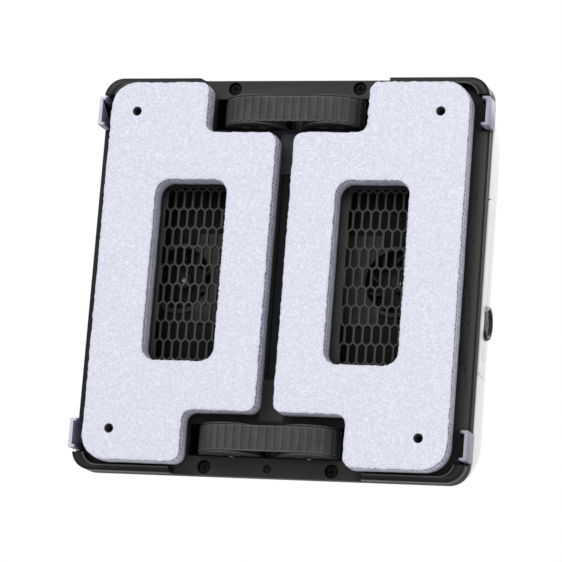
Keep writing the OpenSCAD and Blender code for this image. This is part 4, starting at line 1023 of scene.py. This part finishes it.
def nozzle_finish(name, low, high, end, upper):
    """Dark plastic with painted light up to depth end behind the nozzle's middle, above or below a height.
    """
    f = Finish(name, grey(low), 0.4)
    y, z = f.along("Y"), f.along("Z") - PANEL["nozzle_z"]
    cloud = f.noise(5.0, 2.0)
    # painted light: a lighter part on the bezel's top or the disc's lower side
    pale = y.below(PANEL["nozzle_y"] + end, 1.0) * (z.above(5.0, 1.5) if upper else z.below(7.5, 1.0))
    f.paint(f.blend(pale, f.blend(cloud, grey(low), grey(low + 8)), grey(high)))
    f.rough(0.38 + cloud * 0.1)
    f.level("Specular IOR Level", 0.2)
    return f.material


def tab_finish():
    """Satin lavender-grey tabs: painted light on their inner face, a painted highlight along their front
    edge that is brighter on the right side, and painted shade on the hook ends that reach inward.
    """
    c = colours()
    f = Finish("edge tab", c["tab"], 0.4)
    x, y = f.along("X"), f.along("Y")
    cloud = f.noise(8.0, 3.0)
    grain = f.noise(0.4, 2.0)
    # painted light: the inner face painted lighter than the tab's own colour
    inner = abs(x).below(119.35, 0.25)
    lip = y.below(7.1, 0.35)
    face = f.blend(cloud, shade(c["tab"], 0.93), shade(c["tab"], 1.05))
    tone = f.blend(inner, face, srgb(150, 150, 176))
    # painted highlight: a pale front edge, brighter on the right side than on the left
    pale = f.blend(x.above(0.0, 1.0), srgb(205, 205, 220), srgb(158, 158, 174))
    tone = f.blend(lip, tone, pale)
    # painted shade: darker on the hook ends that reach in toward the pocket
    f.paint(f.blend(abs(x).above(117.2, 0.9), srgb(96, 96, 118), tone))
    f.rough(0.34 + cloud * 0.12)
    f.bump(grain, 0.02)
    return f.material


def revolved(name, profile, centre, steps, side):
    """A profile of (radius, place along X) carried round X; a radius of 0 closes that end at a pole.

    Without any such radius the last point joins the first, as on a ring."""
    angle = np.arange(steps) * 2 * math.pi / steps
    profile = np.array(profile, float)
    poles = [k for k in (0, -1) if profile[k, 0] == 0.0]
    body = profile[profile[:, 0] > 0.0]
    grid = np.stack(np.broadcast_arrays(body[:, 1:] * side, body[:, :1] * np.cos(angle),
                                        body[:, :1] * np.sin(angle)), 2)
    points = np.concatenate([grid.reshape(-1, 3)] + [[[profile[k, 1] * side, 0.0, 0.0]] for k in poles])
    faces = grid_faces(len(body), steps, wrap_rows=not poles)
    ring = np.arange(steps)
    for count, k in enumerate(poles):
        first = 0 if k == 0 else (len(body) - 1) * steps
        pole = len(body) * steps + count
        faces += [[first + i, first + j, pole] for i, j in zip(ring, np.roll(ring, -1))]
    made = mesh_object(name, points + np.array(centre), faces, 32.0)
    outward(made)
    return made


NOZZLE_RIM = ((7.2, 117.2), (10.2, 117.2), (10.2, 121.6), (10.05, 122.1), (9.6, 122.5), (9.0, 122.6),
              (8.3, 122.45), (7.6, 121.9), (7.2, 121.2))
MIST_DISC = ((0.0, 117.2), (7.1, 117.2), (7.1, 121.0), (6.8, 121.3), (5.6, 121.5), (5.3, 121.15),
             (3.4, 121.2), (3.1, 121.55), (1.4, 121.75), (1.2, 121.3), (0.0, 121.3))


class ROBOT_OT_edge_parts(bpy.types.Operator):
    """Finishes the tabs with their springs and switches, the screws and the mist nozzles"""

    bl_idname = "robot.edge_parts"
    bl_label = "Edge parts"

    def execute(self, context):
        tab = tab_finish()
        steel = metal("screw steel", (0.5, 0.5, 0.51), 0.3, "Y")
        burnished = moulded("blackened screws", grey(12), 0.6, gloss=0.12)
        black = moulded("black trim", grey(22), 0.35)
        bezel = nozzle_finish("nozzle bezel", 20, 168, -1.0, True)
        plate = nozzle_finish("mist disc", 20, 84, 1.5, False)
        for end in ENDS:
            for side in SIDES:
                refined(f"bumper_{end}_{side}", f"edge_tab_{end}_{side}", tab)
        refined("housing_screws", "plate_screws", burnished, 0.15)
        coat("bumper_springs", steel)
        coat("bumper_switches", black)
        refined("edge_sensor", "sensor_lens", moulded("sensor", srgb(8, 8, 10), 0.5, gloss=0.15), 0.5, 3)
        for name, side in SIDES.items():
            centre = (0.0, PANEL["nozzle_y"], PANEL["nozzle_z"])
            made = revolved("nozzle_rim_" + name, NOZZLE_RIM, centre, 72, side)
            flatten_nozzle(made, side, 0.0)
            settle(made, "tank_" + name, "black_plastic", bezel, "nozzle_bezel_" + name)
            made = revolved("mist_plate_" + name, MIST_DISC, centre, 64, side)
            flatten_nozzle(made, side, 0.4)
            settle(made, "tank_" + name, "grey_plastic", plate, "mist_disc_" + name)
        return {"FINISHED"}


class ROBOT_OT_insides(bpy.types.Operator):
    """Finishes the battery, board, tanks and the fittings on the back"""

    bl_idname = "robot.insides"
    bl_label = "Inside and back"

    def execute(self, context):
        black = moulded("inner black", grey(26), 0.5)
        steel = metal("eye steel", (0.6, 0.6, 0.61), 0.25)
        coat("battery_pack", moulded("battery wrap", srgb(38, 74, 150), 0.4))
        coat("main_board", moulded("circuit board", srgb(24, 88, 48), 0.45, 0.8, 0.02, 0.2))
        water = moulded("tank", srgb(196, 208, 214), 0.25)
        for name in SIDES:
            coat("water_tank_" + name, water)
            coat("tank_cap_" + name, black)
        refined("power_button", "button_cap", moulded("button", srgb(206, 207, 210), 0.3), 0.6, 3)
        refined("indicator_lens", "status_lens", moulded("lens", srgb(60, 120, 170), 0.12), 0.4, 3)
        refined("power_inlet", "socket", black, 0.4, 3)
        refined("rope_eye", "safety_eye", steel, 0.6, 3)
        return {"FINISHED"}


CAMERA = {"turn": (17.61, -11.32, 4.55), "lens": 189.92, "place": (0.5191, -1.6199, -0.3466)}
LAMPS = (("key", (-0.9, -1.9, 1.5), 1.3, 20.0), ("fill", (1.2, -1.2, 0.3), 1.0, 6.6),
         ("back", (0.4, 1.6, 1.2), 1.4, 13.0))
AMBIENT = 0.6
FLOOR_REACH = 3000.0


def facing(right, up, back, place):
    """The matrix of a camera or lamp at a place, from its three directions."""
    return Matrix([[right[k], up[k], back[k], place[k]] for k in range(3)] + [[0, 0, 0, 1]])


def level_frame(back):
    """Right and up for something that looks against back with its sides level."""
    right = np.cross([0.0, 0.0, 1.0], back)
    right /= np.linalg.norm(right)
    return right, np.cross(back, right)


class ROBOT_OT_stage(bpy.types.Operator):
    """Sets the camera, the lamps, the pale floor and the white surroundings"""

    bl_idname = "robot.stage"
    bl_label = "Stage"

    def execute(self, context):
        scene = context.scene
        scene.view_settings.view_transform = "Standard"
        self.camera(scene)
        for name, place, size, power in LAMPS:
            lamp = bpy.data.lights.new(name, "AREA")
            lamp.size = size
            lamp.energy = power
            made = bpy.data.objects.new(name, lamp)
            scene.collection.objects.link(made)
            back = np.array(place) / np.linalg.norm(place)
            made.matrix_world = facing(*level_frame(back), back, place)
        self.surroundings(scene)
        drop = sizes().floor_drop / MM
        floor = mesh_object("floor", [(x * FLOOR_REACH, y * FLOOR_REACH, -drop) for x, y in (
            (-1, -1), (1, -1), (1, 1), (-1, 1))], [[0, 1, 2, 3]])
        floor.data.materials.append(Finish("floor", (0.86, 0.86, 0.86), 0.9).material)
        return {"FINISHED"}

    def camera(self, scene):
        """The photograph's view, as solved from the robot's corners."""
        azimuth, elevation, roll = (math.radians(v) for v in CAMERA["turn"])
        back = np.array([math.sin(azimuth) * math.cos(elevation), -math.cos(azimuth) * math.cos(elevation),
                         math.sin(elevation)])
        right, up = level_frame(back)
        c, s = math.cos(roll), math.sin(roll)
        right, up = right * c + up * s, up * c - right * s
        eye = bpy.data.cameras.new("photo_view")
        eye.sensor_width = 36.0
        eye.lens = CAMERA["lens"]
        eye.clip_end = 20.0
        camera = bpy.data.objects.new("photo_view", eye)
        scene.collection.objects.link(camera)
        camera.matrix_world = facing(right, up, back, CAMERA["place"])
        scene.camera = camera

    def surroundings(self, scene):
        """White where the camera, mirrors and glass look, and a softer level for light."""
        world = bpy.data.worlds.new("studio")
        scene.world = world
        world.use_nodes = True
        tree = world.node_tree
        tree.nodes.clear()
        path = add_node(tree, "ShaderNodeLightPath", {}, {})
        seen = path.outputs["Is Camera Ray"]
        for ray in ("Is Glossy Ray", "Is Transmission Ray"):
            values = {0: seen, 1: path.outputs[ray]}
            seen = add_node(tree, "ShaderNodeMath", {"operation": "MAXIMUM"}, values).outputs[0]
        values = {0: seen, 1: 1.0 - AMBIENT, 2: AMBIENT}
        level = add_node(tree, "ShaderNodeMath", {"operation": "MULTIPLY_ADD"}, values)
        values = {"Color": (1.0, 1.0, 1.0, 1.0), "Strength": level.outputs[0]}
        light = add_node(tree, "ShaderNodeBackground", {}, values)
        add_node(tree, "ShaderNodeOutputWorld", {}, {"Surface": light.outputs[0]})


OPERATORS = (ROBOT_OT_stage, ROBOT_OT_under_plate, ROBOT_OT_running_gear, ROBOT_OT_shell,
             ROBOT_OT_edge_parts, ROBOT_OT_insides, ROBOT_OT_belts, ROBOT_OT_pads)


class ROBOT_PT_panel(bpy.types.Panel):
    """Lists the robot's sizes, colours and steps"""

    bl_label = "Window cleaning robot"
    bl_idname = "ROBOT_PT_panel"
    bl_space_type = "VIEW_3D"
    bl_region_type = "UI"
    bl_category = "Robot"

    def draw(self, context):
        for group in (context.scene.robot_sizes, context.scene.robot_colours):
            for name in group.bl_rna.properties.keys():
                if name not in ("rna_type", "name"):
                    self.layout.prop(group, name)
        for step in OPERATORS:
            self.layout.operator(step.bl_idname)


CLASSES = (RobotSizes, RobotColours, *OPERATORS, ROBOT_PT_panel)


def register():
    for made in CLASSES:
        bpy.utils.register_class(made)
    bpy.types.Scene.robot_sizes = PointerProperty(type=RobotSizes)
    bpy.types.Scene.robot_colours = PointerProperty(type=RobotColours)


def unregister():
    del bpy.types.Scene.robot_colours
    del bpy.types.Scene.robot_sizes
    for made in reversed(CLASSES):
        bpy.utils.unregister_class(made)


def main():
    register()
    for step in OPERATORS:
        family, name = step.bl_idname.split(".")
        getattr(getattr(bpy.ops, family), name)()
    bpy.context.view_layer.update()


if __name__ == "__main__":
    main()
